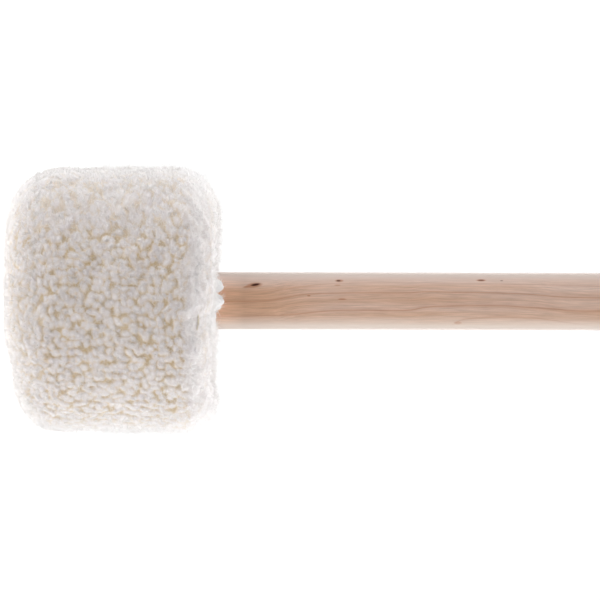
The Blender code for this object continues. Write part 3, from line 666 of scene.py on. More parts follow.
for name, material in (
    ("core", coreWood), ("weight_ring", ringSteel), ("core_washer", zincSteel), ("core_screw", zincSteel),
    ("cross_pin", zincSteel), ("liner_tie", waxedThread), ("drawstring", waxedThread),
    ("front_seam_thread", waxedThread), ("rear_seam_thread", waxedThread), ("side_seam_thread", waxedThread),
):
    nodes[name].data.materials.clear()
    nodes[name].data.materials.append(material)

# Handle: the dowel, with a finer round than the CAD node's and a slight unevenness from sanding

dowel = {"steps": 96, "rings": 90, "buttRound": 0.0045, "buttSteps": 10, "uneven": 0.00003, "chamfer": 0.001}


def makeHandle():
    low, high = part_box("handle")
    screwLow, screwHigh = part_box("core_screw")
    radius = high.x
    hole = 0.0038
    holeEnd = screwHigh.z + 0.0003
    section = [(0.0001, high.z)]
    for i in range(dowel["buttSteps"] + 1):
        angle = math.pi / 2 * (1 - i / dowel["buttSteps"])
        section.append((
            radius - dowel["buttRound"] + dowel["buttRound"] * math.cos(angle),
            high.z - dowel["buttRound"] + dowel["buttRound"] * math.sin(angle),
        ))
    top = high.z - dowel["buttRound"]
    bottom = low.z + dowel["chamfer"]
    for i in range(1, dowel["rings"]):
        section.append((radius, top + (bottom - top) * i / dowel["rings"]))
    section += [(radius, bottom), (radius - dowel["chamfer"], low.z), (hole, low.z), (hole, holeEnd - 0.004), (0.0001, holeEnd)]

    def sanded(turn, radii, heights):
        wave = np.sin(3 * turn + 40 * heights) + np.sin(2 * turn - 23 * heights + 1.3) - 1.9
        outside = (radii > radius - 0.002) & (heights < top)
        return radii + outside * dowel["uneven"] * 0.3 * wave, heights

    mesh = turned("maple_handle", section, dowel["steps"], closed=False, ripple=sanded)
    mesh.set_sharp_from_angle(angle=math.radians(35))
    return addPiece("maple_handle", mesh, mapleWood, ["handle"])


makeHandle()
print("handle made")

# Padding and cloth inside the head, each a little uneven as soft goods are

soft = {"steps": 96, "uneven": 0.00015}


def roundedOutside(depth, low, high, count=14):
    heights = [low + (high - low) * (0.5 - 0.5 * math.cos(math.pi * i / count)) for i in range(count + 1)]
    return [(radiusAt(height, depth), height) for height in heights]


def unevenOutside(amount, waves):
    def move(turn, radii, heights):
        wave = np.sin(waves * turn + 90 * heights) * np.sin((waves - 3) * turn - 60 * heights)
        return radii - amount * (0.5 + 0.5 * wave) * (radii > 0.03), heights
    return move


def makePadding():
    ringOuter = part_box("weight_ring")[1].x + 0.0003
    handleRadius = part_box("handle")[1].x + 0.0003
    for name, inner, material, slot, waves in (
        ("felt_wrap", ringOuter, feltWool, "wool_felt", 17),
        ("rear_felt_ring", handleRadius, feltWool, "wool_felt", 13),
    ):
        low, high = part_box(name)
        edge = 0.0006
        section = [
            (inner, low.z), (high.x - edge, low.z), (high.x, low.z + edge),
            (high.x, (low.z + high.z) / 2), (high.x, high.z - edge), (high.x - edge, high.z), (inner, high.z),
        ]
        mesh = turned(name + "_soft", section, soft["steps"], ripple=unevenOutside(soft["uneven"], waves))
        addPiece(name + "_soft", mesh, material, [name])
    low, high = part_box("front_felt_disc")
    section = [(0.0002, high.z), (high.x, high.z), (high.x, low.z + 0.002), (high.x - 0.002, low.z), (0.0002, low.z)]
    mesh = turned("front_felt_disc_soft", section, soft["steps"], closed=False, ripple=unevenOutside(soft["uneven"], 11))
    addPiece("front_felt_disc_soft", mesh, feltWool, ["front_felt_disc"])

    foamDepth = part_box("front_foam_disc")[0].z
    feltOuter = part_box("felt_wrap")[1].x + 0.0003
    low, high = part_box("foam_wrap")
    section = roundedOutside(foamDepth, low.z, high.z) + [(feltOuter, high.z), (feltOuter, low.z)]
    mesh = turned("foam_wrap_soft", section, soft["steps"], ripple=unevenOutside(soft["uneven"], 9))
    addPiece("foam_wrap_soft", mesh, foamPad, ["foam_wrap"])
    low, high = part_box("front_foam_disc")
    section = [(0.0002, low.z)] + roundedOutside(foamDepth, low.z, high.z, 8) + [(0.0002, high.z)]
    mesh = turned("front_foam_disc_soft", section, soft["steps"], closed=False, ripple=unevenOutside(soft["uneven"], 8))
    addPiece("front_foam_disc_soft", mesh, foamPad, ["front_foam_disc"])
    low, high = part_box("rear_foam_ring")
    section = roundedOutside(foamDepth, low.z, high.z, 8) + [(handleRadius, high.z), (handleRadius, low.z)]
    mesh = turned("rear_foam_ring_soft", section, soft["steps"], ripple=unevenOutside(soft["uneven"], 8))
    addPiece("rear_foam_ring_soft", mesh, foamPad, ["rear_foam_ring"])


def makeLiner():
    # The stocking: over the foam, gathered into folds on the rear face and tied on the handle's neck
    low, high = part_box("muslin_liner")
    outerDepth = low.z
    wall = 0.0005
    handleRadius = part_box("handle")[1].x + 0.0003
    foot = head["length"] - outerDepth
    outside = [(0.0002, low.z)] + roundedOutside(outerDepth, low.z, foot, 30)
    outside += [(0.030, foot), (0.022, foot), (handleRadius + wall + 0.0006, foot), (handleRadius + wall, high.z)]
    inside = [(handleRadius, high.z), (handleRadius, foot - wall), (0.022, foot - wall), (0.030, foot - wall)]
    inside += list(reversed(roundedOutside(outerDepth + wall, low.z + wall, foot - wall, 30))) + [(0.0002, low.z + wall)]

    def gathers(turn, radii, heights):
        near = np.clip((0.036 - radii) / 0.02, 0, 1) * (heights > foot - 0.002) * (heights < foot + 0.0001)
        return radii, heights - 0.0002 * near * (1 + np.sin(40 * turn))

    mesh = turned("liner_cloth", outside + inside, 160, closed=False, ripple=gathers)
    piece = addPiece("liner_cloth", mesh, muslinCloth, ["muslin_liner"])


makePadding()
makeLiner()
print("padding made")

# Fleece: a knitted backing, the pile's lumpy surface on it, then loose fibres over that

pile = {
    "depth": 0.0046,  # from the pile's top down to its backing
    "backingGap": 0.0002,
    "backingWall": 0.0018,
    "grid": 0.00048,
    "spacing": 0.0028,
    "jitter": 0.42,
    "halfLength": (0.0020, 0.0028),
    "halfWidth": (0.0015, 0.0020),
    "crown": 0.00066,  # how high a tuft stands over the valleys
    "crownUneven": 0.00024,
    "valley": 0.0017,  # how deep the valleys lie under the head's outer surface
    "swirl": 0.75,
    "bend": 0.3,
    "roundness": 0.8,
    "lean": 0.35,
    "patchy": 0.32,  # how much the valleys differ in depth from place to place
    "patchSize": 0.021,
    "swell": 0.0004,
    "swellSize": 0.017,
    "lump": 0.00014,
    "rearLump": 0.00016,
    "lumpSize": 0.0078,
    "seamDip": 0.0,
    "seamLightReach": (0.003, 0.0080),
    "seamReach": 0.0009,
    "seamLip": 0.003,  # how far each panel reaches under the other below a seam
    "seamWave": 0.0008,
    "seamTurns": (9, 23, 41, 57, 73, 88),
    "firstWall": 0.10,
    "wallRows": 3,
    "innerRows": 6,
}
fibres = {
    "perArea": 1.7e6,  # a square metre
    "sides": 3,
    "rings": 2,
    "length": (0.0011, 0.0042),
    "radius": (0.00004, 0.00008),
    "rise": 1.5,
    "swirl": 1.2,
    "bend": (0.3, 2.2),
    "sink": 0.0002,
    "mostFaces": 190000,
}
# Tufts round the handle's foot, the tall ones on the camera's side: place, reach and height
collarTufts = [((-0.0056, -0.0142), 0.0027, 0.0034), ((0.0007, -0.0150), 0.0033, 0.0036),
               ((0.0074, 0.0126), 0.0036, 0.0014), ((-0.0010, 0.0148), 0.0040, 0.0017),
               ((-0.0084, 0.0119), 0.0034, 0.0012)]
collarWay = head["rearStart"] + head["rearFlat"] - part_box("handle")[1].x


def unit(vectors):
    return vectors / np.maximum(np.linalg.norm(vectors, axis=-1, keepdims=True), 1e-9)


def billow(point, size):
    # A slow swell, between about -1 and 1, made of waves that cross at odd angles
    a, b, c = (point / size * 2 * math.pi).T
    return (np.sin(a + 0.7 * b) + np.sin(1.1 * b - 0.6 * c + 1) + np.sin(0.9 * c + 0.8 * a + 2)
            + np.sin(1.7 * a - 1.3 * c) + np.sin(1.9 * b + 1.2 * c + 4)) / 3.2


def onSurface(ways, angles):
    # Points on the head's outer surface, and the directions out of it and along its section
    radius, height, out, up = skin(ways, 0)
    cos, sin = np.cos(angles), np.sin(angles)
    point = np.stack([radius * cos, radius * sin, height], -1)
    normal = np.stack([out * cos, out * sin, up], -1)
    section = np.stack([-up * cos, -up * sin, out + 0 * cos], -1)
    return point, normal, section


def napAt(ways, angles, aroundSide):
    # The pile's lean: round the head on its side, across it on its ends, and away from the seams
    point, normal, section = onSurface(ways, angles)
    if aroundSide:
        nap = np.stack([np.sin(angles), -np.cos(angles), np.zeros(angles.shape)], -1)
    else:
        nap = np.zeros(point.shape)
        nap[..., 0] = -1
        nap = nap - normal * np.sum(nap * normal, -1, keepdims=True)
    for seam in (head["frontSeamWay"], head["rearSeamWay"]):
        distance = ways - seam
        near = np.clip(1 - np.abs(distance) / 0.004, 0, 1)
        nap = nap + section * (np.sign(distance) * near * 0.5)[..., None]
    return unit(nap)


def seamEdge(way, angles):
    # A seam between two panels wanders a little where the pile parts
    if way in (head["frontSeamWay"], head["rearSeamWay"]):
        wander = sum(np.sin(turns * angles + turns**2) for turns in pile["seamTurns"]) / math.sqrt(len(pile["seamTurns"]))
        return way + pile["seamWave"] * wander
    return way + 0 * angles


def scatterTufts(start, end, rng, aroundSide):
    # Staggered rows with jitter, as lengths along the surface and angles
    gap = pile["spacing"]
    ways, angles = [], []
    if aroundSide:
        rows = round(2 * math.pi * head["radius"] / gap)
        count = round((end - start) / (gap * 0.9))
        for row in range(rows):
            ways.append(start + (end - start) * (np.arange(count) + 0.25 + 0.5 * (row % 2)) / count)
            angles.append(np.full(count, 2 * math.pi * row / rows))
    else:
        rows = round((end - start) / (gap * 0.9))
        for row in range(rows):
            way = start + (end - start) * (row + 0.5) / rows
            count = max(3, round(2 * math.pi * float(skin(way, 0)[0]) / gap))
            ways.append(np.full(count, way))
            angles.append((np.arange(count) + 0.5 * (row % 2)) * 2 * math.pi / count)
    ways, angles = np.concatenate(ways), np.concatenate(angles)
    ways = ways + rng.uniform(-1, 1, len(ways)) * gap * pile["jitter"]
    radius = np.maximum(skin(ways, 0)[0], gap)
    return ways, angles + rng.uniform(-1, 1, len(ways)) * gap * pile["jitter"] / radius


def makeTufts(start, end, rng, aroundSide):
    ways, angles = scatterTufts(start, end, rng, aroundSide)
    count = len(ways)
    point, normal, section = onSurface(ways, angles)
    nap = napAt(ways, angles, aroundSide)
    # Long locks on one side of the head, rows along it on the other, plain lumps between
    locks = smooth((-point[:, 0] - 0.020) / 0.016)
    rows = smooth((point[:, 0] - 0.002) / 0.020)
    seams = np.array([head["frontSeamWay"], head["rearSeamWay"]])
    calm = 0.25 * smooth(1 - (ways - seams[0]) / 0.004) + smooth(1 + (ways - seams[1]) / 0.0045)
    calm = calm - 0.5 * smooth((ways - seams[1] - 0.006) / 0.006)
    twist = rng.normal(0, 1, count) * pile["swirl"] * (1 - 0.6 * locks) * (1 - 0.35 * calm)
    twist = twist + (rng.random(count) < 0.7 * rows * (1 - calm)) * math.pi / 2
    side = np.cross(normal, nap)
    axis = unit(nap * np.cos(twist)[:, None] + side * np.sin(twist)[:, None])
    top = pile["crown"] - np.abs(rng.normal(0, pile["crownUneven"], count))
    patchy = 1 + pile["patchy"] * billow(point, pile["patchSize"])
    return {
        "point": point,
        "axis": axis,
        "cross": np.cross(normal, axis),
        "halfLength": rng.uniform(*pile["halfLength"], count) * (1 + 0.4 * np.maximum(locks, 0.4 * calm)),
        "halfWidth": rng.uniform(*pile["halfWidth"], count) * (1 - 0.12 * locks),
        "top": top,
        "crown": pile["crown"] * (1 - 0.62 * locks) * (1 - 0.68 * calm) * patchy,
        "ease": np.maximum(0.45 * locks, 0.65 * calm),
        "bend": rng.normal(0, pile["bend"], count),
        "tint": np.clip(rng.normal(0.5, 0.2, count), 0, 1),
        "slide": rng.uniform(0, 50, (count, 2)),
    }


def nearestTufts(point, tufts, count):
    tree = KDTree(len(tufts["point"]))
    for index, place in enumerate(tufts["point"]):
        tree.insert(place, index)
    tree.balance()
    return np.array([[found[1] for found in tree.find_n(place, count)] for place in point])


def inTuft(point, tufts, which):
    # A point's place along and over a tuft, from -1 to 1 inside it
    offset = point - tufts["point"][which]
    along = np.sum(offset * tufts["axis"][which], -1) / tufts["halfLength"][which]
    over = np.sum(offset * tufts["cross"][which], -1) / tufts["halfWidth"][which]
    return along, over - tufts["bend"][which] * (along**2 - 0.3)


def liftPile(point, tufts):
    # The highest tuft at each point, and how high it is there
    near = nearestTufts(point, tufts, 6)
    along, over = inTuft(point[:, None], tufts, near)
    dome = np.clip(1 - along**2 - over**2, 0, 1) ** pile["roundness"] * (1 + 0.15 * np.clip(along, -1, 1))
    rise = tufts["top"][near] + (dome - 1) * tufts["crown"][near]
    best = rise.argmax(1)
    pick = np.arange(len(point))
    return rise[pick, best], dome[pick, best], near[pick, best]


def ringRows(start, end, columns):
    # A closed section all round: up the starting edge, over the outside, down the other edge and back inside
    angles = np.arange(columns) * 2 * math.pi / columns
    first, last = seamEdge(start, angles), seamEdge(end, angles)
    outerRows = round((end - start) / pile["grid"])
    rows = [(0.0, share) for share in np.linspace(1, pile["firstWall"], pile["wallRows"])]
    rows += [(t, 0.0) for t in np.linspace(0, 1, outerRows)]
    rows += [(1.0, share) for share in np.linspace(pile["firstWall"], 1, pile["wallRows"])]
    rows += [(t, 1.0) for t in np.linspace(1, 0, pile["innerRows"] + 2)[1:-1]]
    share = np.array([row[0] for row in rows])[:, None]
    bury = np.array([row[1] for row in rows])[:, None]
    ways = first[None] + (last - first)[None] * share
    lip = pile["seamLip"] * np.sqrt(bury)
    ways = ways - lip * (share == 0)
    if end < collarWay - 0.001:
        ways = ways + lip * (share == 1)
    turn = np.repeat(angles[None], len(rows), 0)
    i, j = np.meshgrid(np.arange(len(rows)), np.arange(columns), indexing="ij")
    nextRow, nextColumn = (i + 1) % len(rows), (j + 1) % columns
    quads = np.stack([i * columns + j, i * columns + nextColumn, nextRow * columns + nextColumn,
                      nextRow * columns + j], -1).reshape(-1, 4)
    corners = [(j, i), (j + 1, i), (j + 1, i + 1), (j, i + 1)]
    chart = np.stack([np.stack([a / columns, b / len(rows)], -1) for a, b in corners], 2).reshape(-1, 4, 2)
    return ways.ravel(), turn.ravel(), np.repeat(bury, columns, 1).ravel(), quads, chart, None, None


def discRows(end):
    # A square grid pressed into a round one, with its edge turned down and closed underneath
    count = round(2 * end / pile["grid"] * 0.92) // 2 * 2 + 1
    line = np.linspace(-1, 1, count)
    a, b = np.meshgrid(line, line, indexing="ij")
    reach = np.maximum(np.abs(a), np.abs(b))
    flat = np.abs(a) >= np.abs(b)
    safe = np.where(reach > 0, reach, 1)
    turn = np.where(flat, math.pi / 4 * b / np.where(flat, np.where(a == 0, safe, a), 1),
                    math.pi / 2 - math.pi / 4 * a / np.where(flat, 1, np.where(b == 0, safe, b)))
    turn = np.where(np.where(flat, a, b) < 0, turn + math.pi, turn)
    ways = seamEdge(end, turn) * reach
    i, j = np.meshgrid(np.arange(count - 1), np.arange(count - 1), indexing="ij")
    quads = np.stack([i * count + j, (i + 1) * count + j, (i + 1) * count + j + 1, i * count + j + 1], -1)
    corners = [(i, j), (i + 1, j), (i + 1, j + 1), (i, j + 1)]
    chart = np.stack([np.stack([p / count, q / count], -1) for p, q in corners], 2).reshape(-1, 4, 2) * (1, 0.86)
    edge = [k * count for k in range(count - 1)] + [(count - 1) * count + k for k in range(count - 1)]
    edge += [(count - 1 - k) * count + count - 1 for k in range(count - 1)] + [count - 1 - k for k in range(count - 1)]
    edge = np.array(edge)
    length = len(edge)
    first = pile["firstWall"]
    levels = [(1.0, share) for share in np.linspace(first, 1, pile["wallRows"])]
    levels += [(t, 1.0) for t in np.linspace(1, 0, pile["innerRows"] + 2)[1:-1]]
    rows = [edge] + [count * count + k * length + np.arange(length) for k in range(len(levels))]
    allWays = [ways.ravel()] + [ways.ravel()[edge] * level
                                + pile["seamLip"] * math.sqrt(share) * (level == 1)
                                for level, share in levels] + [np.zeros(1)]
    allTurns = [turn.ravel()] + [turn.ravel()[edge]] * len(levels) + [np.zeros(1)]
    bury = [np.zeros(count * count)] + [np.full(length, share) for _, share in levels] + [np.ones(1)]
    ringQuads, ringChart = [], []
    k = np.arange(length)
    after = (k + 1) % length
    for level in range(len(levels)):
        above, below = rows[level], rows[level + 1]
        ringQuads.append(np.stack([above[k], below[k], below[after], above[after]], -1))
        low, high = 0.88 + 0.11 * level / (len(levels) + 1), 0.88 + 0.11 * (level + 1) / (len(levels) + 1)
        ringChart.append(np.stack([np.stack([p / length, 0 * p + q], -1) for p, q in (
            (k, low), (k, high), (k + 1, high), (k + 1, low))], 1))
    middle = count * count + len(levels) * length
    tris = np.stack([rows[-1][k], np.full(length, middle), rows[-1][after]], -1)
    triChart = np.stack([np.stack([p / length, 0 * p + q], -1) for p, q in (
        (k, 0.979), (k + 0.5, 0.99), (k + 1, 0.979))], 1)
    return (np.concatenate(allWays), np.concatenate(allTurns), np.concatenate(bury),
            np.concatenate([quads.reshape(-1, 4)] + ringQuads), np.concatenate([chart] + ringChart), tris, triChart)


def makePile(name, start, end, tufts, aroundSide):
    if start > 0:
        widest = float(skin(np.linspace(start, end, 40), 0)[0].max())
        columns = round(2 * math.pi * widest / pile["grid"])
        ways, angles, bury, quads, chart, tris, triChart = ringRows(start, end, columns)
    else:
        ways, angles, bury, quads, chart, tris, triChart = discRows(end)
    point, normal, section = onSurface(ways, angles)
    rise, dome, owner = liftPile(point, tufts)
    depth = pile["valley"] - rise - pile["swell"] * billow(point, pile["swellSize"])
    lump = pile["lump"] + pile["rearLump"] * smooth((ways - head["rearSeamWay"] - 0.002) / 0.006)
    depth = depth - lump * billow(point, pile["lumpSize"])
    collar = np.zeros(len(ways))
    for place, reach, height in collarTufts if end > head["rearStart"] else ():
        apart = np.linalg.norm(point - (*place, head["length"]), axis=1)
        knob = np.clip(1 - (apart / reach) ** 2, 0, 1) ** 0.6
        depth = depth - height * knob * (0.68 + 0.32 * dome)
        collar = np.maximum(collar, knob)
    lean = rise * pile["lean"]
    # Painted light: the pile round the handle's foot and along both seams is taken to its palest colour, where the
    # head's shadow and the seams' dark creases fall
    paintedLightShare = smooth(collar * 2)
    seams = zip((head["frontSeamWay"], head["rearSeamWay"]), (0.2, 1.0), pile["seamLightReach"])
    for seam, pale, reach in seams:
        near = smooth(1 - np.abs(ways - seamEdge(seam, angles)) / pile["seamReach"])
        depth = depth + pile["seamDip"] * near
        lean = lean * (1 - near)
        paintedLightShare = np.maximum(paintedLightShare, pale * smooth(1 - np.abs(ways - seamEdge(seam, angles)) / reach))
    depth = np.where(bury > 0, depth + (pile["depth"] - depth) * bury, depth)
    nap = napAt(ways, angles, aroundSide)
    low, lowHeight, _, _ = skin(ways, depth)
    verts = np.stack([low * np.cos(angles), low * np.sin(angles), lowHeight], -1)
    verts = verts + nap * (lean * (bury == 0))[:, None]
    bare = (1 - bury) ** 2
    # Colour height: low in the valleys, whose darker colour is partly painted shade, and raised by the painted light
    lift = (dome + (1 - dome) * tufts["ease"][owner]) * bare
    lift = 1 - (1 - lift) * (1 - np.minimum(paintedLightShare, 1) * bare)
    if aroundSide:
        # The strip's own two ends meet at the back, where its pile parts as well
        apart = np.abs(np.angle(np.exp(1j * (angles - math.pi / 2)))) * head["radius"]
        dip = 0.0006 * smooth(1 - apart / pile["seamReach"]) * (bury == 0)
        verts = verts - normal * dip[:, None]
    verts = settle(verts)

    def strandAt(faces):
        # Every face's corners in the frame of one tuft, so that no strand smears across two
        which = np.repeat(owner[faces[:, :1]], faces.shape[1], 1)
        along, over = inTuft(point[faces], tufts, which)
        return np.stack([over * 0.9, along * 0.22], -1) + tufts["slide"][which]

    none = np.zeros((0, 3), int)
    bake = [chart.reshape(-1, 2)]
    strand = [strandAt(quads).reshape(-1, 2)]
    if tris is not None:
        bake.append(triChart.reshape(-1, 2))
        strand.append(strandAt(tris).reshape(-1, 2))
    tint = tufts["tint"][owner]
    mesh = meshFrom(name, verts, quads, none if tris is None else tris, {"lift": lift, "tint": tint, "out": normal},
                    {"OFBake": np.concatenate(bake), "strand": np.concatenate(strand)})
    fixNormals(mesh)
    mesh.set_sharp_from_angle(angle=math.radians(70))
    piece = addPiece(name, mesh, fleecePile)
    shown = np.flatnonzero(bury == 0)
    bumpy = np.empty(len(verts) * 3)
    mesh.vertex_normals.foreach_get("vector", bumpy)
    area = sum(p.area for p in mesh.polygons) * 0.55
    cover = {"verts": verts[shown], "normal": unit(normal + bumpy.reshape(-1, 3))[shown], "nap": nap[shown],
             "out": normal[shown],
             "lift": lift[shown], "tint": tint[shown], "area": area,
             "weight": skin(ways[shown], 0)[0] if start > 0 else np.ones(len(shown))}
    return piece, cover


def growStrands(name, cover, total, rng):
    # Tapered strands rooted on the pile's surface, each curving round in a plane of its own
    root = rng.choice(len(cover["verts"]), total, p=cover["weight"] / cover["weight"].sum())
    normal, nap = cover["normal"][root], cover["nap"][root]
    side = np.cross(normal, nap)
    twist = rng.normal(0, fibres["swirl"], total)
    heading = nap * np.cos(twist)[:, None] + side * np.sin(twist)[:, None]
    ahead = unit(heading + normal * (fibres["rise"] * rng.uniform(0.4, 1.4, total))[:, None])
    spin = rng.uniform(-math.pi, math.pi, total)
    sideways = np.cross(ahead, normal)
    inward = unit(np.cross(sideways, ahead))
    toward = -inward * np.cos(spin)[:, None] + unit(sideways) * np.sin(spin)[:, None]
    shortest, longest = fibres["length"]
    length = shortest + (longest - shortest) * rng.random(total) ** 2
    reach = np.hypot(*cover["verts"][root, :2].T)
    atCollar = (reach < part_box("handle")[1].x + 0.004) & (cover["verts"][root, 2] > head["length"] / 2)
    length = np.where(atCollar, length * 0.55, length)
    thick = rng.uniform(*fibres["radius"], total)
    bend = rng.uniform(*fibres["bend"], total)
    rings, sides = fibres["rings"], fibres["sides"]
    axisAcross = np.cross(ahead, toward)
    place = cover["verts"][root] - normal * fibres["sink"] + rng.normal(0, 0.00012, (total, 3))
    start = place
    points = np.zeros((total, rings * sides + 1, 3))
    for ring in range(rings):
        share = ring / rings
        turn = bend * share
        direction = ahead * np.cos(turn)[:, None] + toward * np.sin(turn)[:, None]
        second = np.cross(direction, axisAcross)
        girth = thick * (1 - 0.55 * share**2) * (0.75 + 0.25 * min(1, 3 * share))
        for s in range(sides):
            angle = 2 * math.pi * s / sides
            offset = axisAcross * math.cos(angle) + second * math.sin(angle)
            points[:, ring * sides + s] = place + offset * girth[:, None]
        half = bend * (share + 0.5 / rings)
        onward = ahead * np.cos(half)[:, None] + toward * np.sin(half)[:, None]
        place = place + onward * (length / rings)[:, None]
    points[:, -1] = place
    each = rings * sides + 1
    quads, quadUV, tris, triUV = [], [], [], []
    for ring in range(rings - 1):
        for s in range(sides):
            t = (s + 1) % sides
            quads.append((ring * sides + s, ring * sides + t, (ring + 1) * sides + t, (ring + 1) * sides + s))
            quadUV.append([(s, ring), (s + 1, ring), (s + 1, ring + 1), (s, ring + 1)])
    last = (rings - 1) * sides
    for s in range(sides):
        tris.append((last + s, last + (s + 1) % sides, each - 1))
        triUV.append([(s, rings - 1), (s + 1, rings - 1), (s + 0.5, rings)])
    for s in range(1, sides - 1):
        tris.append((0, s + 1, s))
        triUV.append([(0, rings), (s + 1, rings + 0.3), (s, rings + 0.3)])
    shift = np.arange(total)[:, None, None] * each
    grid = math.ceil(math.sqrt(total))
    cell = np.stack([np.arange(total) % grid, np.arange(total) // grid], 1)[:, None, None].astype(float)
    slide = rng.uniform(0, 50, (total, 1, 1, 2))
    bake, strand = [], []
    for uv in (np.array(quadUV, float), np.array(triUV, float)):
        bake.append(((cell + (uv / (sides, rings + 0.4) * 0.94 + 0.03)[None]) / grid).reshape(-1, 2))
        strand.append((uv[None] * (0.35, 0.06) + slide).reshape(-1, 2))
    stand = np.sum((points - start[:, None]) * normal[:, None], 2)
    # The fibres grow paler the further they stand off the pile, so their roots take the darker valley colour, partly
    # painted shade
    lift = np.clip(cover["lift"][root][:, None] * 0.6 + 0.35 + stand / 0.002, 0, 1)
    tint = np.repeat(cover["tint"][root][:, None], each, 1)
    out = np.repeat(cover["out"][root][:, None], each, 1).reshape(-1, 3)
    press = 0.0001
    points[..., 2] = np.maximum(points[..., 2], press)
    mesh = meshFrom(name, points.reshape(-1, 3), (np.array(quads)[None] + shift).reshape(-1, 4),
                    (np.array(tris)[None] + shift).reshape(-1, 3), {"lift": lift, "tint": tint, "out": out},
                    {"OFBake": np.concatenate(bake), "strand": np.concatenate(strand)})
    return addPiece(name, mesh, fleeceFibres)


def growFibres(name, cover, rng):
    # As many pieces as keep each one under the most faces, every piece spread over the whole panel
    eachFaces = (fibres["rings"] - 1) * fibres["sides"] * 2 + fibres["sides"] * 2 - 2
    total = round(cover["area"] * fibres["perArea"])
    parts = math.ceil(total * eachFaces / fibres["mostFaces"])
    return [growStrands(f"{name}_{part + 1}", cover, round(total / parts), rng) for part in range(parts)]


def makeBacking(name, start, end, node):
    top = pile["depth"] + pile["backingGap"]
    ways = np.linspace(start, end, 26)
    outer, inner = skin(ways, top), skin(ways, top + pile["backingWall"])
    section = [(max(r, 0.0002), z) for r, z in zip(outer[0], outer[1])]
    section += [(max(r, 0.0002), z) for r, z in zip(inner[0][::-1], inner[1][::-1])]
    mesh = turned(name, section, 128, closed=start > 0)
    points = np.empty(len(mesh.vertices) * 3)
    mesh.vertices.foreach_get("co", points)
    mesh.vertices.foreach_set("co", settle(points.reshape(-1, 3), 0.6).ravel())
    return addPiece(name, mesh, fleeceBacking, [node])


def makeFleece():
    seams = (head["frontSeamWay"], head["rearSeamWay"])
    bands = (
        ("front_fleece", 0.0, seams[0], 11, False, "fleece_front_panel"),
        ("side_fleece", seams[0], seams[1], 23, True, "fleece_side_panel"),
        ("rear_fleece", seams[1], collarWay - 0.0003, 37, False, "fleece_rear_panel"),
    )
    rngs = [np.random.default_rng(band[3]) for band in bands]
    sets = [makeTufts(band[1], band[2], rng, band[4]) for band, rng in zip(bands, rngs)]
    tufts = {key: np.concatenate([one[key] for one in sets]) for key in sets[0]}
    for (name, start, end, seed, aroundSide, node), rng in zip(bands, rngs):
        backing = makeBacking(name + "_backing", start, end, node)
        surface, cover = makePile(name + "_pile", start, end, tufts, aroundSide)
        loose = growFibres(name + "_fibres", cover, rng)
        print(name, *(len(piece.data.polygons) for piece in (surface, *loose)), "faces")


makeFleece()
print("fleece made")

# Camera, at the photograph's side view: the handle runs to the right and the head's front is at the left

view = {"width": 0.2316, "middle": 0.1139, "distance": 3.0, "sensor": 36.0, "roll": math.radians(0.15), "raise": 0.0004}


def makeCamera():
    data = bpy.data.cameras.new("camera")
    data.sensor_width = view["sensor"]
    data.lens = view["sensor"] * view["distance"] / view["width"]
    camera = bpy.data.objects.new("camera", data)
    bpy.context.scene.collection.objects.link(camera)
    turn = Matrix(((0, -1, 0), (0, 0, -1), (1, 0, 0))).to_4x4()
    camera.matrix_world = (
        Matrix.Translation((-view["raise"], -view["distance"], view["middle"])) @ turn @ Matrix.Rotation(view["roll"], 4, "Z")
    )
    bpy.context.scene.camera = camera


# Soft studio light: a pale surround, dimmer on the camera's side, with a bright backdrop, and broad soft lights

studio = {
    "cameraSide": 0.24,
    "behind": 0.44,
    "farBehind": 0.25,
    "backdrop": 4.0,  # only glossy finishes show it
    "floorMiddle": 0.93,
    "underRim": 1.02,
    "floor": 0.55,
    "lights": [
        # name, place, size, power, colour
        ("low_side", (1.3, 0.4, 0.2), 1.3, 12.9, (1, 1, 1)),
        ("high_side", (-1.28, 0.58, 0.2), 1.3, 11.8, (1, 1, 1)),
        ("above", (0.1, 0.3, 1.6), 1.4, 25.3, (1, 1, 1)),
        ("handle_side", (0.0, -0.9, 1.0), 1.0, 1.95, (1, 1, 1)),
    ],
}


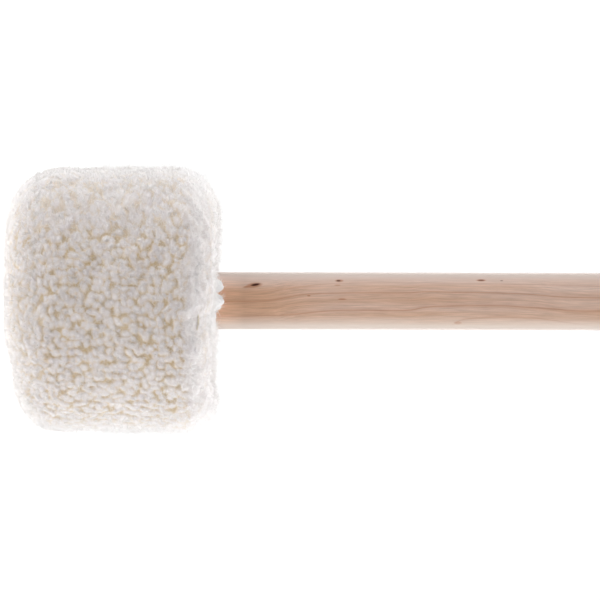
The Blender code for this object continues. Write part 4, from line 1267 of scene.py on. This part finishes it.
def makeStudio():
    world = bpy.data.worlds.new("surround")
    bpy.context.scene.world = world
    world.use_nodes = True
    tree = world.node_tree
    background = tree.nodes["Background"]
    output = tree.nodes["World Output"]
    background.inputs["Color"].default_value = (1, 1, 1, 1)
    direction = addNode(tree, "ShaderNodeTexCoord").outputs["Generated"]
    away = addNode(tree, "ShaderNodeSeparateXYZ", None, Vector=direction).outputs["Y"]
    strength = mapRange(tree, away, -1.0, 0.2, studio["cameraSide"], studio["behind"])
    strength = maths(tree, "MINIMUM", strength, mapRange(tree, away, 0.5, 1.0, studio["behind"], studio["farBehind"]))
    rays = tree.nodes.new("ShaderNodeLightPath")
    backdrop = mapRange(tree, away, 0.6, 0.85, 0.0, studio["backdrop"])
    strength = maths(tree, "MULTIPLY_ADD", backdrop, rays.outputs["Is Glossy Ray"], strength)
    tree.links.new(strength, background.inputs["Strength"])
    plain = tree.nodes.new("ShaderNodeBackground")
    plain.inputs["Color"].default_value = (1, 1, 1, 1)
    plain.inputs["Strength"].default_value = 1.05
    mix = tree.nodes.new("ShaderNodeMixShader")
    tree.links.new(rays.outputs["Is Camera Ray"], mix.inputs[0])
    tree.links.new(background.outputs[0], mix.inputs[1])
    tree.links.new(plain.outputs[0], mix.inputs[2])
    tree.links.new(mix.outputs[0], output.inputs["Surface"])
    for name, place, size, power, colour in studio["lights"]:
        data = bpy.data.lights.new(name, "AREA")
        data.shape = "DISK"
        data.size = size
        data.energy = power
        data.color = colour
        light = bpy.data.objects.new(name, data)
        light.visible_camera = False
        light.visible_glossy = False
        bpy.context.scene.collection.objects.link(light)
        toward = Vector((0, 0, 0.1)) - Vector(place)
        light.rotation_euler = toward.to_track_quat("-Z", "Y").to_euler()
        light.location = place
    bpy.context.scene.view_settings.view_transform = "Standard"


def makeFloor():
    material, tree, shader = newMaterial("pale_floor")
    place = addNode(tree, "ShaderNodeTexCoord").outputs["Object"]
    noise = addNode(tree, "ShaderNodeTexNoise", None, Vector=place, Scale=4.0)
    tree.links.new(ramp(tree, noise.outputs["Fac"], [(0.3, grey(0.56)), (0.7, grey(0.6))]), shader.inputs["Base Color"])
    shader.inputs["Roughness"].default_value = 0.9
    shader.inputs["Emission Color"].default_value = (1, 1, 1, 1)
    # The floor is pure white to the camera, and lights the mallet most from under its head
    reach = addNode(tree, "ShaderNodeVectorMath", {"operation": "LENGTH"}, i0=place).outputs["Value"]
    inner = mapRange(tree, reach, 0.036, 0.042, studio["floorMiddle"], studio["underRim"])
    outer = mapRange(tree, reach, 0.038, 0.056, studio["underRim"], studio["floor"])
    glow = maths(tree, "MINIMUM", inner, outer)
    seen = addNode(tree, "ShaderNodeLightPath").outputs["Is Camera Ray"]
    tree.links.new(maths(tree, "MAXIMUM", glow, seen), shader.inputs["Emission Strength"])
    size = 1.5
    mesh = bpy.data.meshes.new("floor")
    mesh.from_pydata([(-size, -size, 0), (size, -size, 0), (size, size, 0), (-size, size, 0)], [], [(0, 1, 2, 3)])
    mesh.materials.append(material)
    floor = bpy.data.objects.new("floor", mesh)
    floor.location.z = -0.0006
    bpy.context.scene.collection.objects.link(floor)


makeCamera()
makeStudio()
makeFloor()
print("studio made")
